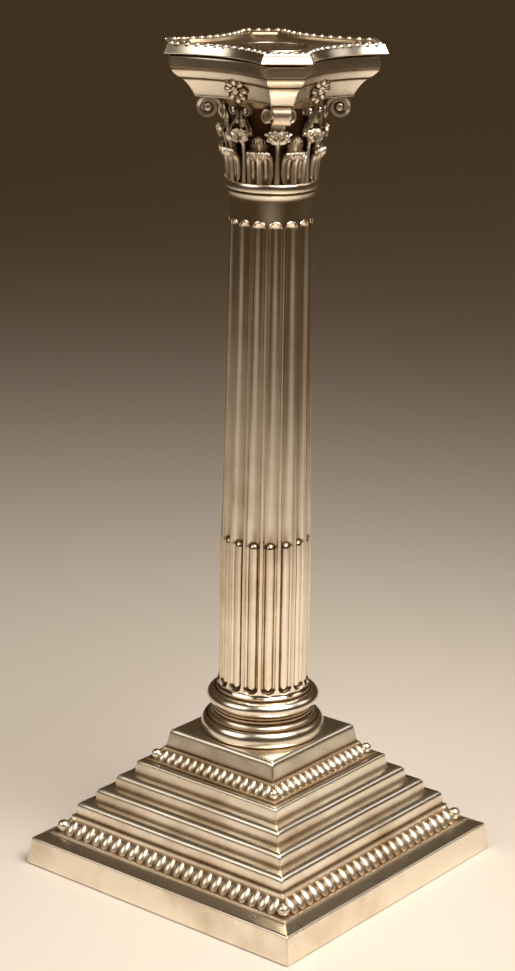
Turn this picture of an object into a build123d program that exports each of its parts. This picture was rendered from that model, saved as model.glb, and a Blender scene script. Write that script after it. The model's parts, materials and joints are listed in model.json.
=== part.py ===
"""Corinthian-column candlestick of sheet silver, loaded with pitch, with a lift-out nozzle.

Units are millimetres. +Z is up, the origin is the middle of the baize pad's underside, and the
sides of the square foot run along X and Y.
"""
import os
from math import atan2, cos, degrees, hypot, radians, sin, sqrt

from build123d import *

# ---------------------------------------------------------------- foot
foot_half = 60.8            # half the width of the square foot at the table
sheet = 1.0                 # thickness of the raised silver sheet
pad_proud = 0.4             # how far the baize stands below the silver rim
pad_thickness = 1.2
board_thickness = 4.0       # wooden board that closes the foot
board_clearance = 0.3       # gap round the board and the pad inside the rim

plinth_height = 9.7
plinth_batter = 1.4         # how far the plinth leans in over its height
plinth_tread = 5.0          # sloping band from the plinth's edge to the lower beads
plinth_tread_rise = 1.3
plinth_edge_radius = 0.9

fillet_step = 0.5           # top width of the thin fillet in front of a bead row
lower_fillet_rise = 0.8
upper_fillet_rise = 0.6

lower_band_run = 4.7        # horizontal and vertical size of the lower bead moulding
lower_band_rise = 4.9
lower_back_rise = 1.3       # thin upright fillet behind the lower beads
lower_back_run = 1.1
lower_back_fall = 0.3
upper_band_run = 4.1
upper_band_rise = 3.7
upper_back_rise = 0.6
upper_back_run = 0.7
upper_back_fall = 0.2

step_count = 4
step_batter = 1.25          # how far a step's riser leans in
step_riser = 4.88
step_tread = 3.82
step_tread_rise = 0.35
step_edge_radius = 1.5
last_tread = 1.45           # the top step is mostly under the upper bead moulding
last_tread_rise = 0.3

block_batter = 1.3
block_height = 6.8
block_edge_radius = 1.9

lower_bead_pitch = 4.3      # the row is closed up to a whole number of beads
lower_bead_length = 5.4
lower_bead_width = 3.7
lower_ball = 3.7
upper_bead_pitch = 3.45
upper_bead_length = 4.5
upper_bead_width = 2.9
upper_ball = 3.1

# ---------------------------------------------------------------- column
shaft_wall = 1.1            # silver left behind a flute at the shaft's top
spigot_wall = 1.05          # the column base's top ledge outside the shaft's tail
joint_gap = 0.05            # soldered or pitched joint between nested pieces

shaft_foot_radius = 16.05
lower_torus_out = 6.25      # how far each moulding stands out past the shaft's foot
lower_torus_height = 5.5
upper_torus_out = 3.35
upper_torus_height = 5.6
base_fillet_out = 3.75
base_fillet_height = 0.6
scotia_height = 1.7
ring_out = 1.85
ring_height = 2.5
foot_fillet_out = 0.85
foot_fillet_height = 1.0

foot_curve_height = 1.4     # small flare where the shaft meets its base
lower_third = 48.2          # straight part of the shaft above the flare
upper_shaft = 121.0         # tapering part up to the flute heads
neck_height = 12.2          # plain neck above the flutes, behind the neck ring
flute_count = 16
flute_share = 0.84          # flute width as a share of the flute spacing
flute_depth = 1.5
reed_radius = 1.95          # convex reeds that fill the lower third of the flutes
reed_sink = 0.1             # how far a reed's crown lies below the shaft's surface
reed_top_above = 8.0        # reeds end this far above the straight part

neck_ring_drop = 5.2        # neck ring's lower edge below the shaft's top
neck_ring_cove = 2.4
neck_ring_groove = 0.5
neck_ring_torus = 3.1
neck_ring_out = 1.7         # how far the ring's torus and its cove stand out past the neck
neck_ring_cove_out = 1.4

# ---------------------------------------------------------------- capital
bell_wall = 1.35
bell_straight = 15.0        # cylindrical part of the bell
bell_height = 28.7
bell_flare = 3.85           # how far the bell's lip stands out past its wall

leaf_count = 8
leaf_thickness = 0.9
lower_leaf_height = 11.6
lower_leaf_share = 0.325    # half a leaf's width as a share of the bell's radius
lower_leaf_out = 4.25       # how far a leaf's curled tip stands out past the bell
upper_leaf_height = 18.9
upper_leaf_share = 0.318
upper_leaf_out = 5.25
stalk_half = 0.95           # narrow rib of a tall leaf between two low leaves

volute_radius = 3.55
volute_out = 7.65           # scroll centre past the bell
volute_half_width = 3.1
volute_gap = 0.2            # under the abacus

helix_radius = 1.35
helix_offset = 2.3
helix_out = 3.45
helix_length = 2.6

fleuron_radius = 3.6
fleuron_thickness = 1.2
fleuron_boss = 1.1
fleuron_petals = 6

# ---------------------------------------------------------------- abacus
abacus_eave = 0.2           # the abacus's sides stand this far out past the bell's lip
cavetto_run = 4.55          # how far the lower and the upper moulding spread
ovolo_run = 3.75
abacus_cavetto = 6.2        # heights of its three mouldings
abacus_ovolo = 3.3
abacus_fascia = 3.9
corner_cut = 3.75           # half the width of a corner face at the underside
corner_growth = 0.295       # how fast that grows with the reach
side_hollow = 3.4           # how far a side curves in at the underside
hollow_growth = 0.313
top_plate_thickness = 1.2

# ---------------------------------------------------------------- nozzle and candle well
candle_bore = 11.1          # radius of the socket for a 22 mm candle
socket_wall = 0.6
socket_depth = 25.0
socket_floor = 0.8
floor_rebate = 0.3          # the floor disc is let this far into the socket's wall
well_clearance = 0.3        # radial gap between the lift-out socket and its well
well_wall = 0.7
well_floor_gap = 1.0        # air under the lifted-in socket
well_floor = 0.8
well_in_bell_gap = 0.1

pan_gap = 1.1               # shadow gap between the abacus and the pan
pan_overhang = 2.3          # the pan's corners past the abacus's
pan_flare = 1.1             # a corner face is this much wider at the pan's foot, each way
pan_bevel = 1.2
pan_cut_over = 0.82         # half width of a corner face at the rim, past the abacus's
pan_growth = 0.37
pan_band_height = 2.8
rim_bead_inset = 0.9        # bead centres inside the rim
ledge_width = 8.0           # from the rim to the dish
dish_slope_run = 3.8
pan_dish_depth = 1.75
pan_hollow_height = 1.7     # hollow folded border under the pan
pan_border_wall = 1.0
seat_width = 4.0            # collar on which the nozzle stands
rim_bead = 2.6
rim_bead_side_pitch = 3.45
rim_bead_corner_pitch = 3.5
rim_bead_sink = 0.4         # bead centre above the rim, as a share of its radius
lift_rim_width = 0.9        # rolled mouth of the candle socket
lift_rim_height = 0.7

# ---------------------------------------------------------------- tie rod
rod_radius = 3.0
rod_clearance = 0.2
nut_across_flats = 10.0
nut_height = 5.0
washer_thickness = 1.5
washer_radius = 9.0
rod_past_nut = 1.5

# ---------------------------------------------------------------- levels that follow
wide = 2 * foot_half        # longer than any level cut needs to be
rim_z = pad_proud
socket_radius = candle_bore + socket_wall
well_radius = socket_radius + well_clearance
bell_bore = well_radius + well_wall + well_in_bell_gap
bell_radius = bell_bore + bell_wall
bell_lip_radius = bell_radius + bell_flare
shaft_top_radius = bell_radius + joint_gap
core_bore = shaft_top_radius - flute_depth - shaft_wall
spigot_radius = shaft_foot_radius - spigot_wall
lower_leaf_half = lower_leaf_share * bell_radius
upper_leaf_half = upper_leaf_share * bell_radius


def steps_to_points(start, moves):
    """Points of a profile that starts at (half width, height) and steps in and up by each move."""
    points = [start]
    for run, rise in moves:
        half, height = points[-1]
        points.append((half - run, height + rise))
    return points


plinth_points = steps_to_points((foot_half, rim_z), [
    (plinth_batter, plinth_height), (plinth_tread, plinth_tread_rise),
    (0, lower_fillet_rise), (fillet_step, 0)])
plinth_corner = plinth_points[1]
lower_seat = plinth_points[-1]          # front edge of the lower bead moulding's seat
lower_band_points = steps_to_points(lower_seat, [
    (lower_band_run, 0), (0, lower_band_rise + lower_back_rise),
    (lower_back_run, lower_back_fall)])
stair_moves = [(step_batter, step_riser), (step_tread, step_tread_rise)] * (step_count - 1)
stair_moves += [(step_batter, step_riser), (last_tread, last_tread_rise)]
stair_points = steps_to_points(lower_band_points[-1], stair_moves)
step_corners = stair_points[1::2]
upper_band_points = steps_to_points(stair_points[-1], [
    (0, upper_fillet_rise), (fillet_step, 0), (upper_band_run, 0),
    (0, upper_band_rise + upper_back_rise), (upper_back_run, upper_back_fall),
    (block_batter, block_height)])
upper_seat = upper_band_points[2]       # front edge of the upper bead moulding's seat
block_corner = upper_band_points[-1]
foot_points = plinth_points + lower_band_points[1:] + stair_points[1:] + upper_band_points[1:]
block_z = block_corner[1]

column_base_height = (lower_torus_height + base_fillet_height + scotia_height + ring_height
                      + upper_torus_height + foot_fillet_height)
shaft_z = block_z + column_base_height
flute_foot_z = shaft_z + foot_curve_height
third_z = flute_foot_z + lower_third
flute_head_z = third_z + upper_shaft
shaft_top_z = flute_head_z + neck_height
leaf_z = shaft_top_z - neck_ring_drop + neck_ring_cove + neck_ring_groove + neck_ring_torus
abacus_z = shaft_top_z + bell_height
abacus_mid_z = abacus_z + abacus_cavetto
abacus_edge_z = abacus_mid_z + abacus_ovolo
abacus_top_z = abacus_edge_z + abacus_fascia
pan_z = abacus_top_z + pan_gap
pan_rim_z = pan_z + pan_band_height
tall = 3 * pan_rim_z        # longer than any upright hole
pan_floor_z = pan_rim_z - pan_dish_depth
socket_bottom_z = pan_floor_z - socket_depth
well_floor_z = socket_bottom_z - well_floor_gap

abacus_foot_reach = (bell_lip_radius + abacus_eave + side_hollow) * sqrt(2) - corner_cut
abacus_mid_reach = abacus_foot_reach + cavetto_run
abacus_top_reach = abacus_mid_reach + ovolo_run
pan_reach = abacus_top_reach + pan_overhang
pan_rim_reach = pan_reach - pan_bevel
pan_bead_reach = pan_rim_reach - rim_bead_inset
pan_ledge_reach = pan_rim_reach - ledge_width
pan_dish_reach = pan_ledge_reach - dish_slope_run


def corner_half(reach):
    """Half the width of a corner face of the abacus at this reach."""
    return corner_cut + corner_growth * (reach - abacus_foot_reach)


def side_sag(reach):
    """How far a side of the abacus curves in at this reach."""
    return side_hollow + hollow_growth * (reach - abacus_foot_reach)


def pan_corner_half(reach):
    """Half the width of a corner face of the nozzle's pan, inside its rim."""
    return corner_half(pan_rim_reach) + pan_cut_over - pan_growth * (pan_rim_reach - reach)


def corner_points(reach, cut, quarter):
    """The two ends of one corner face, in the order of travel round the plate."""
    turn = radians(90 * quarter + 45)
    along = (cos(turn), sin(turn))
    across = (-sin(turn), cos(turn))
    return [(reach * along[0] + side * cut * across[0], reach * along[1] + side * cut * across[1])
            for side in (-1, 1)]


def hollow_square(height, reach, cut, sag):
    """A square with cut corners whose sides are arcs that curve in by sag."""
    with BuildSketch(Plane.XY.offset(height)) as plan:
        with BuildLine():
            for quarter in range(4):
                first, second = corner_points(reach, cut, quarter)
                following = corner_points(reach, cut, quarter + 1)[0]
                middle = ((second[0] + following[0]) / 2, (second[1] + following[1]) / 2)
                inwards = 1 - sag / hypot(*middle)
                Line(first, second)
                ThreePointArc(second, (middle[0] * inwards, middle[1] * inwards), following)
        make_face()
    return plan.sketch


def abacus_section(height, reach, inset=0.0):
    """The abacus at one height, drawn inset from its outer face."""
    return hollow_square(height, reach - inset, corner_half(reach - inset), side_sag(reach))


def pan_section(height, reach):
    """The nozzle's pan at one height, inside its rim."""
    return hollow_square(height, reach, pan_corner_half(reach), side_sag(reach))


def mitred(points, rounding=()):
    """A solid with a square plan whose half width at each height follows the points.

    Two prisms of the same upright section cross at right angles. Each rounding is a pair of
    a corner of the section and the radius of its edge.
    """
    with BuildPart() as crossed:
        for plane, mode in ((Plane.XZ, Mode.ADD), (Plane.YZ, Mode.INTERSECT)):
            with BuildSketch(plane) as section:
                with BuildLine():
                    Polyline(*points, *[(-half, height) for half, height in reversed(points)],
                             close=True)
                make_face()
                for corner, radius in rounding:
                    edges = [v for v in section.vertices()
                             if hypot(abs(v.X) - corner[0], v.Y - corner[1]) < 1e-4]
                    fillet(edges, radius)
            extrude(amount=wide, both=True, mode=mode)
    return crossed.part


def shifted(points, inset, low):
    """The stepped profile moved in and down by inset, and cut off at the height low."""
    lean = plinth_batter / plinth_height
    start = (foot_half - inset - lean * (low + inset - rim_z), low)
    return [start] + [(half - inset, height - inset) for half, height in points[1:]]


def finish(piece, name):
    """Label a piece and write its file."""
    piece.label = name
    export_step(piece, f"parts/{name}.step")


os.makedirs("parts", exist_ok=True)

# ================================================================ foot
step_rounding = [(plinth_corner, plinth_edge_radius), (block_corner, block_edge_radius)]
step_rounding += [(corner, step_edge_radius) for corner in step_corners]
foot_outer = mitred(foot_points, step_rounding)
foot_inner = mitred(shifted(foot_points, sheet, rim_z))

with BuildPart() as base_shell:
    add(foot_outer)
    add(foot_inner, mode=Mode.SUBTRACT)
    with Locations((0, 0, block_z)):
        Cylinder(core_bore, 4 * sheet, mode=Mode.SUBTRACT)
finish(base_shell.part, "base_shell")

pad_half = foot_half - plinth_batter - sheet - board_clearance
with BuildPart() as baize_pad:
    Box(2 * pad_half, 2 * pad_half, pad_thickness, align=(Align.CENTER, Align.CENTER, Align.MIN))
finish(baize_pad.part, "baize_pad")

board_top_z = pad_thickness + board_thickness
with BuildPart() as base_board:
    with Locations((0, 0, pad_thickness)):
        Box(2 * pad_half, 2 * pad_half, board_thickness,
            align=(Align.CENTER, Align.CENTER, Align.MIN))
    Cylinder(rod_radius + rod_clearance, tall, mode=Mode.SUBTRACT)
finish(base_board.part, "base_board")

# The loading fills the foot above the board, round the lower nut and washer.
loading_points = shifted(foot_points, sheet + joint_gap, board_top_z)
with BuildPart() as base_loading:
    add(mitred(loading_points))
    Cylinder(rod_radius + joint_gap, tall, mode=Mode.SUBTRACT)
    with Locations((0, 0, board_top_z)):
        Cylinder(washer_radius + joint_gap, joint_gap + nut_height + washer_thickness,
                 align=(Align.CENTER, Align.CENTER, Align.MIN), mode=Mode.SUBTRACT)
finish(base_loading.part, "base_loading")


def bead_moulding(seat, run, rise, spacing, length, width, ball):
    """A mitred wire of triangular section with a row of long beads and a ball at each corner."""
    slope = degrees(atan2(run, rise))
    centre_half = seat[0] - run / 2
    centre_z = seat[1] + rise / 2
    inner_half = seat[0] - run
    with BuildPart() as bead:
        with BuildSketch(Plane.XZ):
            Ellipse(width / 2, length / 2)
            with Locations((-width, 0)):
                Rectangle(2 * width, 2 * length, mode=Mode.SUBTRACT)
        revolve(axis=Axis.Z)
    wire = mitred([(seat[0], seat[1]), (inner_half, seat[1] + rise)])
    spaces = round(2 * centre_half / spacing)
    pitch = 2 * centre_half / spaces
    places = [(pitch * k - centre_half, -centre_half, centre_z) for k in range(1, spaces)]
    with BuildPart() as moulding:
        add(wire)
        with PolarLocations(0, 4):
            with Locations(*places):
                add(bead.part, rotation=(-slope, 0, 0), clean=False)
            with Locations((centre_half, -centre_half, centre_z)):
                Sphere(ball / 2)
        with Locations((0, 0, seat[1] + rise / 2)):
            Box(2 * inner_half, 2 * inner_half, 4 * rise, mode=Mode.SUBTRACT)
        with Locations((0, 0, seat[1])):
            Box(wide, wide, 2 * rise, align=(Align.CENTER, Align.CENTER, Align.MAX),
                mode=Mode.SUBTRACT)
    return moulding.part


lower_beads = bead_moulding(lower_seat, lower_band_run, lower_band_rise, lower_bead_pitch,
                            lower_bead_length, lower_bead_width, lower_ball)
finish(lower_beads, "lower_bead_moulding")
upper_beads = bead_moulding(upper_seat, upper_band_run, upper_band_rise, upper_bead_pitch,
                            upper_bead_length, upper_bead_width, upper_ball)
finish(upper_beads, "upper_bead_moulding")

# ================================================================ column
lower_torus_radius = shaft_foot_radius + lower_torus_out
upper_torus_radius = shaft_foot_radius + upper_torus_out
base_fillet_radius = shaft_foot_radius + base_fillet_out
ring_radius = shaft_foot_radius + ring_out
foot_fillet_radius = shaft_foot_radius + foot_fillet_out
with BuildPart() as column_base:
    with BuildSketch(Plane.XZ):
        with BuildLine():
            level = block_z
            inner_foot = (spigot_radius, level)
            foot_edge = (lower_torus_radius - 0.6, level)
            Line(inner_foot, foot_edge)
            torus_top = (base_fillet_radius + 0.4, level + lower_torus_height)
            ThreePointArc(foot_edge, (lower_torus_radius, level + lower_torus_height / 2), torus_top)
            level += lower_torus_height
            fillet_top = (base_fillet_radius, level + base_fillet_height)
            Polyline(torus_top, (base_fillet_radius, level), fillet_top)
            level += base_fillet_height
            ring_foot = (ring_radius, level + scotia_height)
            ThreePointArc(fillet_top, (ring_radius + 0.5, level + scotia_height * 0.6), ring_foot)
            level += scotia_height
            ring_top = (ring_radius, level + ring_height)
            torus_foot = (foot_fillet_radius + 0.5, level + ring_height)
            Polyline(ring_foot, ring_top, torus_foot)
            level += ring_height
            torus_head = (foot_fillet_radius + 0.4, level + upper_torus_height)
            ThreePointArc(torus_foot, (upper_torus_radius, level + upper_torus_height / 2), torus_head)
            level += upper_torus_height
            Polyline(torus_head, (foot_fillet_radius, level), (foot_fillet_radius, shaft_z),
                     (spigot_radius, shaft_z), inner_foot)
        make_face()
    revolve(axis=Axis.Z)
finish(column_base.part, "column_base")


def flute_tool(half_width, depth, surface):
    """Radius of a round tool and its distance from the axis, for a flute of this width."""
    radius = (half_width ** 2 + depth ** 2) / (2 * depth)
    return radius, surface + radius - depth


def flute_half(surface):
    """Half the width of a flute on a shaft of this radius."""
    return flute_share * surface * radians(180 / flute_count)


tool_low, tool_low_at = flute_tool(flute_half(shaft_foot_radius), flute_depth, shaft_foot_radius)
tool_top, tool_top_at = flute_tool(flute_half(shaft_top_radius), flute_depth, shaft_top_radius)
low_end_z = flute_foot_z + flute_half(shaft_foot_radius)
head_end_z = flute_head_z - flute_half(shaft_top_radius)
reed_at = shaft_foot_radius - reed_sink - reed_radius
reed_top_z = third_z + reed_top_above

with BuildPart() as flute:
    with Locations((tool_low_at, 0, low_end_z)):
        Cylinder(tool_low, third_z - low_end_z, align=(Align.CENTER, Align.CENTER, Align.MIN))
        Sphere(tool_low)
    low_ring = Plane.XY.offset(third_z)
    with BuildSketch(low_ring):
        with Locations((tool_low_at, 0)):
            Circle(tool_low)
    with BuildSketch(Plane.XY.offset(head_end_z)):
        with Locations((tool_top_at, 0)):
            Circle(tool_top)
    loft()
    with Locations((tool_top_at, 0, head_end_z)):
        Sphere(tool_top)

with BuildPart() as reed:
    with Locations((reed_at, 0, low_end_z)):
        Cylinder(reed_radius, reed_top_z - reed_radius - low_end_z,
                 align=(Align.CENTER, Align.CENTER, Align.MIN))
        Sphere(reed_radius)
    with Locations((reed_at, 0, reed_top_z - reed_radius)):
        Sphere(reed_radius)

with BuildPart() as column_shaft:
    with BuildSketch(Plane.XZ):
        with BuildLine():
            flare_foot = (shaft_foot_radius + 0.7, shaft_z)
            flare_top = (shaft_foot_radius, flute_foot_z)
            Polyline((core_bore, block_z), (spigot_radius - joint_gap, block_z),
                     (spigot_radius - joint_gap, shaft_z), flare_foot)
            RadiusArc(flare_foot, flare_top, foot_curve_height * 1.5)
            Polyline(flare_top, (shaft_foot_radius, third_z), (shaft_top_radius, flute_head_z),
                     (shaft_top_radius, shaft_top_z), (core_bore, shaft_top_z),
                     (core_bore, block_z))
        make_face()
    revolve(axis=Axis.Z)
    with PolarLocations(0, flute_count):
        add(flute.part, mode=Mode.SUBTRACT)
    with PolarLocations(0, flute_count):
        add(reed.part)
    Cylinder(core_bore, tall, mode=Mode.SUBTRACT)
finish(column_shaft.part, "column_shaft")

ring_low_z = shaft_top_z - neck_ring_drop
ring_cove_z = ring_low_z + neck_ring_cove
ring_torus_z = ring_cove_z + neck_ring_groove
ring_cove_radius = shaft_top_radius + neck_ring_cove_out
ring_torus_radius = shaft_top_radius + neck_ring_out
with BuildPart() as neck_ring:
    with BuildSketch(Plane.XZ):
        with BuildLine():
            inner_low = (shaft_top_radius + joint_gap, ring_low_z)
            cove_foot = (shaft_top_radius + 0.45, ring_low_z)
            cove_middle = (cove_foot[0] + 0.35, ring_low_z + neck_ring_cove * 0.55)
            cove_top = (ring_cove_radius, ring_cove_z)
            torus_low = (ring_torus_radius - 0.7, ring_torus_z)
            torus_high = (ring_torus_radius - 0.7, leaf_z)
            Line(inner_low, cove_foot)
            ThreePointArc(cove_foot, cove_middle, cove_top)
            Polyline(cove_top, (ring_cove_radius - 0.4, ring_cove_z), torus_low)
            ThreePointArc(torus_low, (ring_torus_radius, (ring_torus_z + leaf_z) / 2), torus_high)
            Polyline(torus_high, (shaft_top_radius + joint_gap, leaf_z), inner_low)
        make_face()
    revolve(axis=Axis.Z)
finish(neck_ring.part, "neck_ring")

# ================================================================ capital
bell_foot_z = shaft_top_z
bell_bend_z = bell_foot_z + bell_straight
with BuildPart() as capital_bell:
    with BuildSketch(Plane.XZ):
        with BuildLine():
            bend = (bell_radius, bell_bend_z)
            lip = (bell_lip_radius, abacus_z)
            Polyline((bell_bore, abacus_z), (bell_bore, bell_foot_z), (bell_radius, bell_foot_z),
                     bend)
            TangentArc(bend, lip, tangent=(0, 1))
            Line(lip, (bell_bore, abacus_z))
        make_face()
    revolve(axis=Axis.Z)
finish(capital_bell.part, "capital_bell")

with BuildPart() as bell_room:
    with BuildSketch(Plane.XZ):
        with BuildLine():
            bend = (bell_radius + joint_gap, bell_bend_z)
            lip = (bell_lip_radius + joint_gap, abacus_z)
            Polyline((0, abacus_z), (0, bell_foot_z), (bell_radius + joint_gap, bell_foot_z), bend)
            TangentArc(bend, lip, tangent=(0, 1))
            Line(lip, (0, abacus_z))
        make_face()
    revolve(axis=Axis.Z)

lower_tip_z = leaf_z + lower_leaf_height
upper_tip_z = leaf_z + upper_leaf_height
leaf_back = bell_radius - 0.4
leaf_face = bell_radius + leaf_thickness


def leaf(side_points, front_points):
    """A leaf whose side and front outlines are both given, fitted to the bell."""
    with BuildPart() as blade:
        with BuildSketch(Plane.XZ):
            with BuildLine():
                Polyline(*side_points, close=True)
            make_face()
        extrude(amount=lower_leaf_half * 2, both=True)
        with BuildSketch(Plane.YZ):
            with BuildLine():
                mirrored = [(-half, height) for half, height in reversed(front_points)]
                Polyline(*front_points, *mirrored, close=True)
            make_face()
        extrude(amount=wide, both=True, mode=Mode.INTERSECT)
        add(bell_room.part, mode=Mode.SUBTRACT)
    return blade.part


def leaf_side(tip_z, reach, stand):
    """Side outline of a leaf that stands on the bell and curls over at its tip."""
    return [(leaf_back, leaf_z), (leaf_face, leaf_z), (leaf_face + stand, tip_z - 4.4),
            (reach - 1.6, tip_z - 2.9), (reach - 0.9, tip_z - 3.2), (reach, tip_z - 1.5),
            (reach - 1.5, tip_z), (bell_radius + 1.3 + stand, tip_z - 0.9),
            (leaf_back, tip_z - 3.2)]


lower_front = [(lower_leaf_half * 0.72, leaf_z), (lower_leaf_half, leaf_z + 2.0),
               (lower_leaf_half, lower_tip_z - 4.6), (lower_leaf_half * 0.7, lower_tip_z - 2.0),
               (lower_leaf_half * 0.35, lower_tip_z)]
upper_front = [(stalk_half, leaf_z), (stalk_half, lower_tip_z - 1.2),
               (upper_leaf_half, lower_tip_z + 0.4), (upper_leaf_half, upper_tip_z - 3.0),
               (upper_leaf_half * 0.4, upper_tip_z)]
tall_leaf = leaf(leaf_side(upper_tip_z, bell_radius + upper_leaf_out, 0.0), upper_front)
low_leaf = leaf(leaf_side(lower_tip_z, bell_radius + lower_leaf_out, 0.5), lower_front)

with BuildPart() as upper_leaves:
    with PolarLocations(0, leaf_count):
        add(tall_leaf)
finish(upper_leaves.part, "upper_leaves")

with BuildPart() as lower_leaves:
    with PolarLocations(0, leaf_count, start_angle=180 / leaf_count):
        add(low_leaf)
finish(lower_leaves.part, "lower_leaves")

scroll_z = abacus_z - volute_gap - volute_radius
volute_at = bell_radius + volute_out
with BuildPart() as corner_volutes:
    with PolarLocations(0, 4, start_angle=45):
        with Locations(Location((volute_at, 0, scroll_z), (90, 0, 0))):
            Cylinder(volute_radius, 2 * volute_half_width)
        with Locations((volute_at - volute_radius, 0, scroll_z + 0.4)):
            Box(2 * volute_radius, 1.4 * volute_half_width, 1.1 * volute_radius)
    add(bell_room.part, mode=Mode.SUBTRACT)
finish(corner_volutes.part, "corner_volutes")

helix_at = bell_radius + helix_out
helix_z = scroll_z
with BuildPart() as inner_scrolls:
    with PolarLocations(0, 4):
        for side in (-1, 1):
            with Locations(Location((helix_at, side * helix_offset, helix_z), (0, 90, 0))):
                Cylinder(helix_radius, helix_length, align=(Align.CENTER, Align.CENTER, Align.MAX))
    add(bell_room.part, mode=Mode.SUBTRACT)
finish(inner_scrolls.part, "inner_scrolls")

# ================================================================ abacus
turns = (0, 30, 60, 90)
abacus_levels = [(abacus_foot_reach + cavetto_run * (1 - cos(radians(turn))),
                  abacus_z + abacus_cavetto * sin(radians(turn))) for turn in turns]
abacus_levels += [(abacus_mid_reach + ovolo_run * sin(radians(turn)),
                   abacus_mid_z + abacus_ovolo * (1 - cos(radians(turn)))) for turn in turns[1:]]
abacus_levels.append((abacus_top_reach, abacus_top_z))
abacus_outer = loft([abacus_section(height, reach) for reach, height in abacus_levels], ruled=True)

plate_z = abacus_top_z - top_plate_thickness
plate_reach = abacus_top_reach - sheet
void_levels = [(reach - sheet, max(height, abacus_z + sheet)) for reach, height in abacus_levels]
void_levels = [void_levels[0]] + void_levels[2:]
abacus_void = loft([abacus_section(height, reach) for reach, height in void_levels], ruled=True)
with BuildPart() as abacus_shell:
    add(abacus_outer)
    add(abacus_void, mode=Mode.SUBTRACT)
    Cylinder(well_radius + well_wall + joint_gap, tall, mode=Mode.SUBTRACT)
finish(abacus_shell.part, "abacus_shell")

with BuildPart() as abacus_plate:
    extrude(abacus_section(plate_z, plate_reach), amount=top_plate_thickness)
    Cylinder(well_radius + well_wall + joint_gap, tall, mode=Mode.SUBTRACT)
finish(abacus_plate.part, "abacus_plate")

side_middle_foot = (abacus_foot_reach + corner_half(abacus_foot_reach)) * cos(radians(45))
side_middle_foot -= side_sag(abacus_foot_reach)
side_middle_mid = (abacus_mid_reach + corner_half(abacus_mid_reach)) * cos(radians(45))
side_middle_mid -= side_sag(abacus_mid_reach)
fleuron_lean = atan2(side_middle_mid - side_middle_foot, abacus_cavetto)
fleuron_z = abacus_z + abacus_cavetto / 2
fleuron_plane = Plane(origin=((side_middle_foot + side_middle_mid) / 2, 0, fleuron_z),
                      x_dir=(0, 1, 0), z_dir=(cos(fleuron_lean), 0, -sin(fleuron_lean)))
with BuildPart() as fleuron:
    with BuildSketch(fleuron_plane.offset(-fleuron_thickness)):
        Circle(fleuron_radius * 0.55)
        with PolarLocations(fleuron_radius * 0.58, fleuron_petals):
            Circle(fleuron_radius * 0.42)
    extrude(amount=2 * fleuron_thickness)
    with Locations(fleuron_plane.offset(fleuron_thickness)):
        Sphere(fleuron_boss)
    add(abacus_outer, mode=Mode.SUBTRACT)
with BuildPart() as fleurons:
    with PolarLocations(0, 4):
        add(fleuron.part)
finish(fleurons.part, "fleurons")

# ================================================================ candle well
with BuildPart() as candle_well:
    with Locations((0, 0, well_floor_z - well_floor)):
        Cylinder(well_radius + well_wall, abacus_top_z - well_floor_z + well_floor,
                 align=(Align.CENTER, Align.CENTER, Align.MIN))
    Cylinder(well_radius, tall, mode=Mode.SUBTRACT)
finish(candle_well.part, "candle_well")

with BuildPart() as well_bottom:
    with Locations((0, 0, well_floor_z)):
        Cylinder(well_radius, well_floor, align=(Align.CENTER, Align.CENTER, Align.MAX))
finish(well_bottom.part, "well_bottom")

# ================================================================ tie rod and pitch
lower_nut_z = board_top_z + joint_gap
lower_washer_z = lower_nut_z + nut_height
upper_washer_z = shaft_top_z
upper_nut_z = upper_washer_z + washer_thickness
rod_low_z = lower_nut_z - rod_past_nut
rod_high_z = upper_nut_z + nut_height + rod_past_nut
rod_hole = rod_radius + joint_gap

with BuildPart() as tie_rod:
    with Locations((0, 0, rod_low_z)):
        Cylinder(rod_radius, rod_high_z - rod_low_z,
                 align=(Align.CENTER, Align.CENTER, Align.MIN))
finish(tie_rod.part, "tie_rod")


def nut(height):
    """A plain hexagonal nut standing at this height."""
    with BuildPart() as body:
        with BuildSketch(Plane.XY.offset(height)):
            RegularPolygon(nut_across_flats / 2, 6, major_radius=False)
            Circle(rod_hole, mode=Mode.SUBTRACT)
        extrude(amount=nut_height)
    return body.part


def washer(height, radius):
    """A flat washer on the rod."""
    with BuildPart() as body:
        with BuildSketch(Plane.XY.offset(height)):
            Circle(radius)
            Circle(rod_hole, mode=Mode.SUBTRACT)
        extrude(amount=washer_thickness)
    return body.part


finish(nut(lower_nut_z), "lower_nut")
finish(nut(upper_nut_z), "upper_nut")
finish(washer(lower_washer_z, washer_radius), "lower_washer")
finish(washer(upper_washer_z, bell_bore - joint_gap), "upper_washer")

core_foot_z = block_z - sheet - joint_gap
with BuildPart() as column_loading:
    with BuildSketch(Plane.XY.offset(core_foot_z)):
        Circle(core_bore - joint_gap)
        Circle(rod_hole, mode=Mode.SUBTRACT)
    extrude(amount=upper_washer_z - core_foot_z)
finish(column_loading.part, "column_loading")

# ================================================================ nozzle
pan_foot = hollow_square(pan_z, pan_reach, pan_corner_half(pan_rim_reach) + pan_flare,
                         side_sag(pan_reach))
border_reach = pan_rim_reach - pan_border_wall
with BuildSketch(Plane.XY.offset(pan_z)) as border:
    add(hollow_square(0, border_reach, pan_corner_half(border_reach), side_sag(border_reach)))
    add(hollow_square(0, pan_ledge_reach, pan_corner_half(pan_ledge_reach),
                      side_sag(pan_ledge_reach)), mode=Mode.SUBTRACT)
with BuildPart() as nozzle_pan:
    loft([pan_foot, pan_section(pan_rim_z, pan_rim_reach)], ruled=True)
    loft([pan_section(pan_floor_z, pan_dish_reach), pan_section(pan_rim_z, pan_ledge_reach)],
         ruled=True, mode=Mode.SUBTRACT)
    extrude(border.sketch, amount=pan_hollow_height, mode=Mode.SUBTRACT)
    Cylinder(socket_radius + joint_gap, tall, mode=Mode.SUBTRACT)
finish(nozzle_pan.part, "nozzle_pan")


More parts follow.
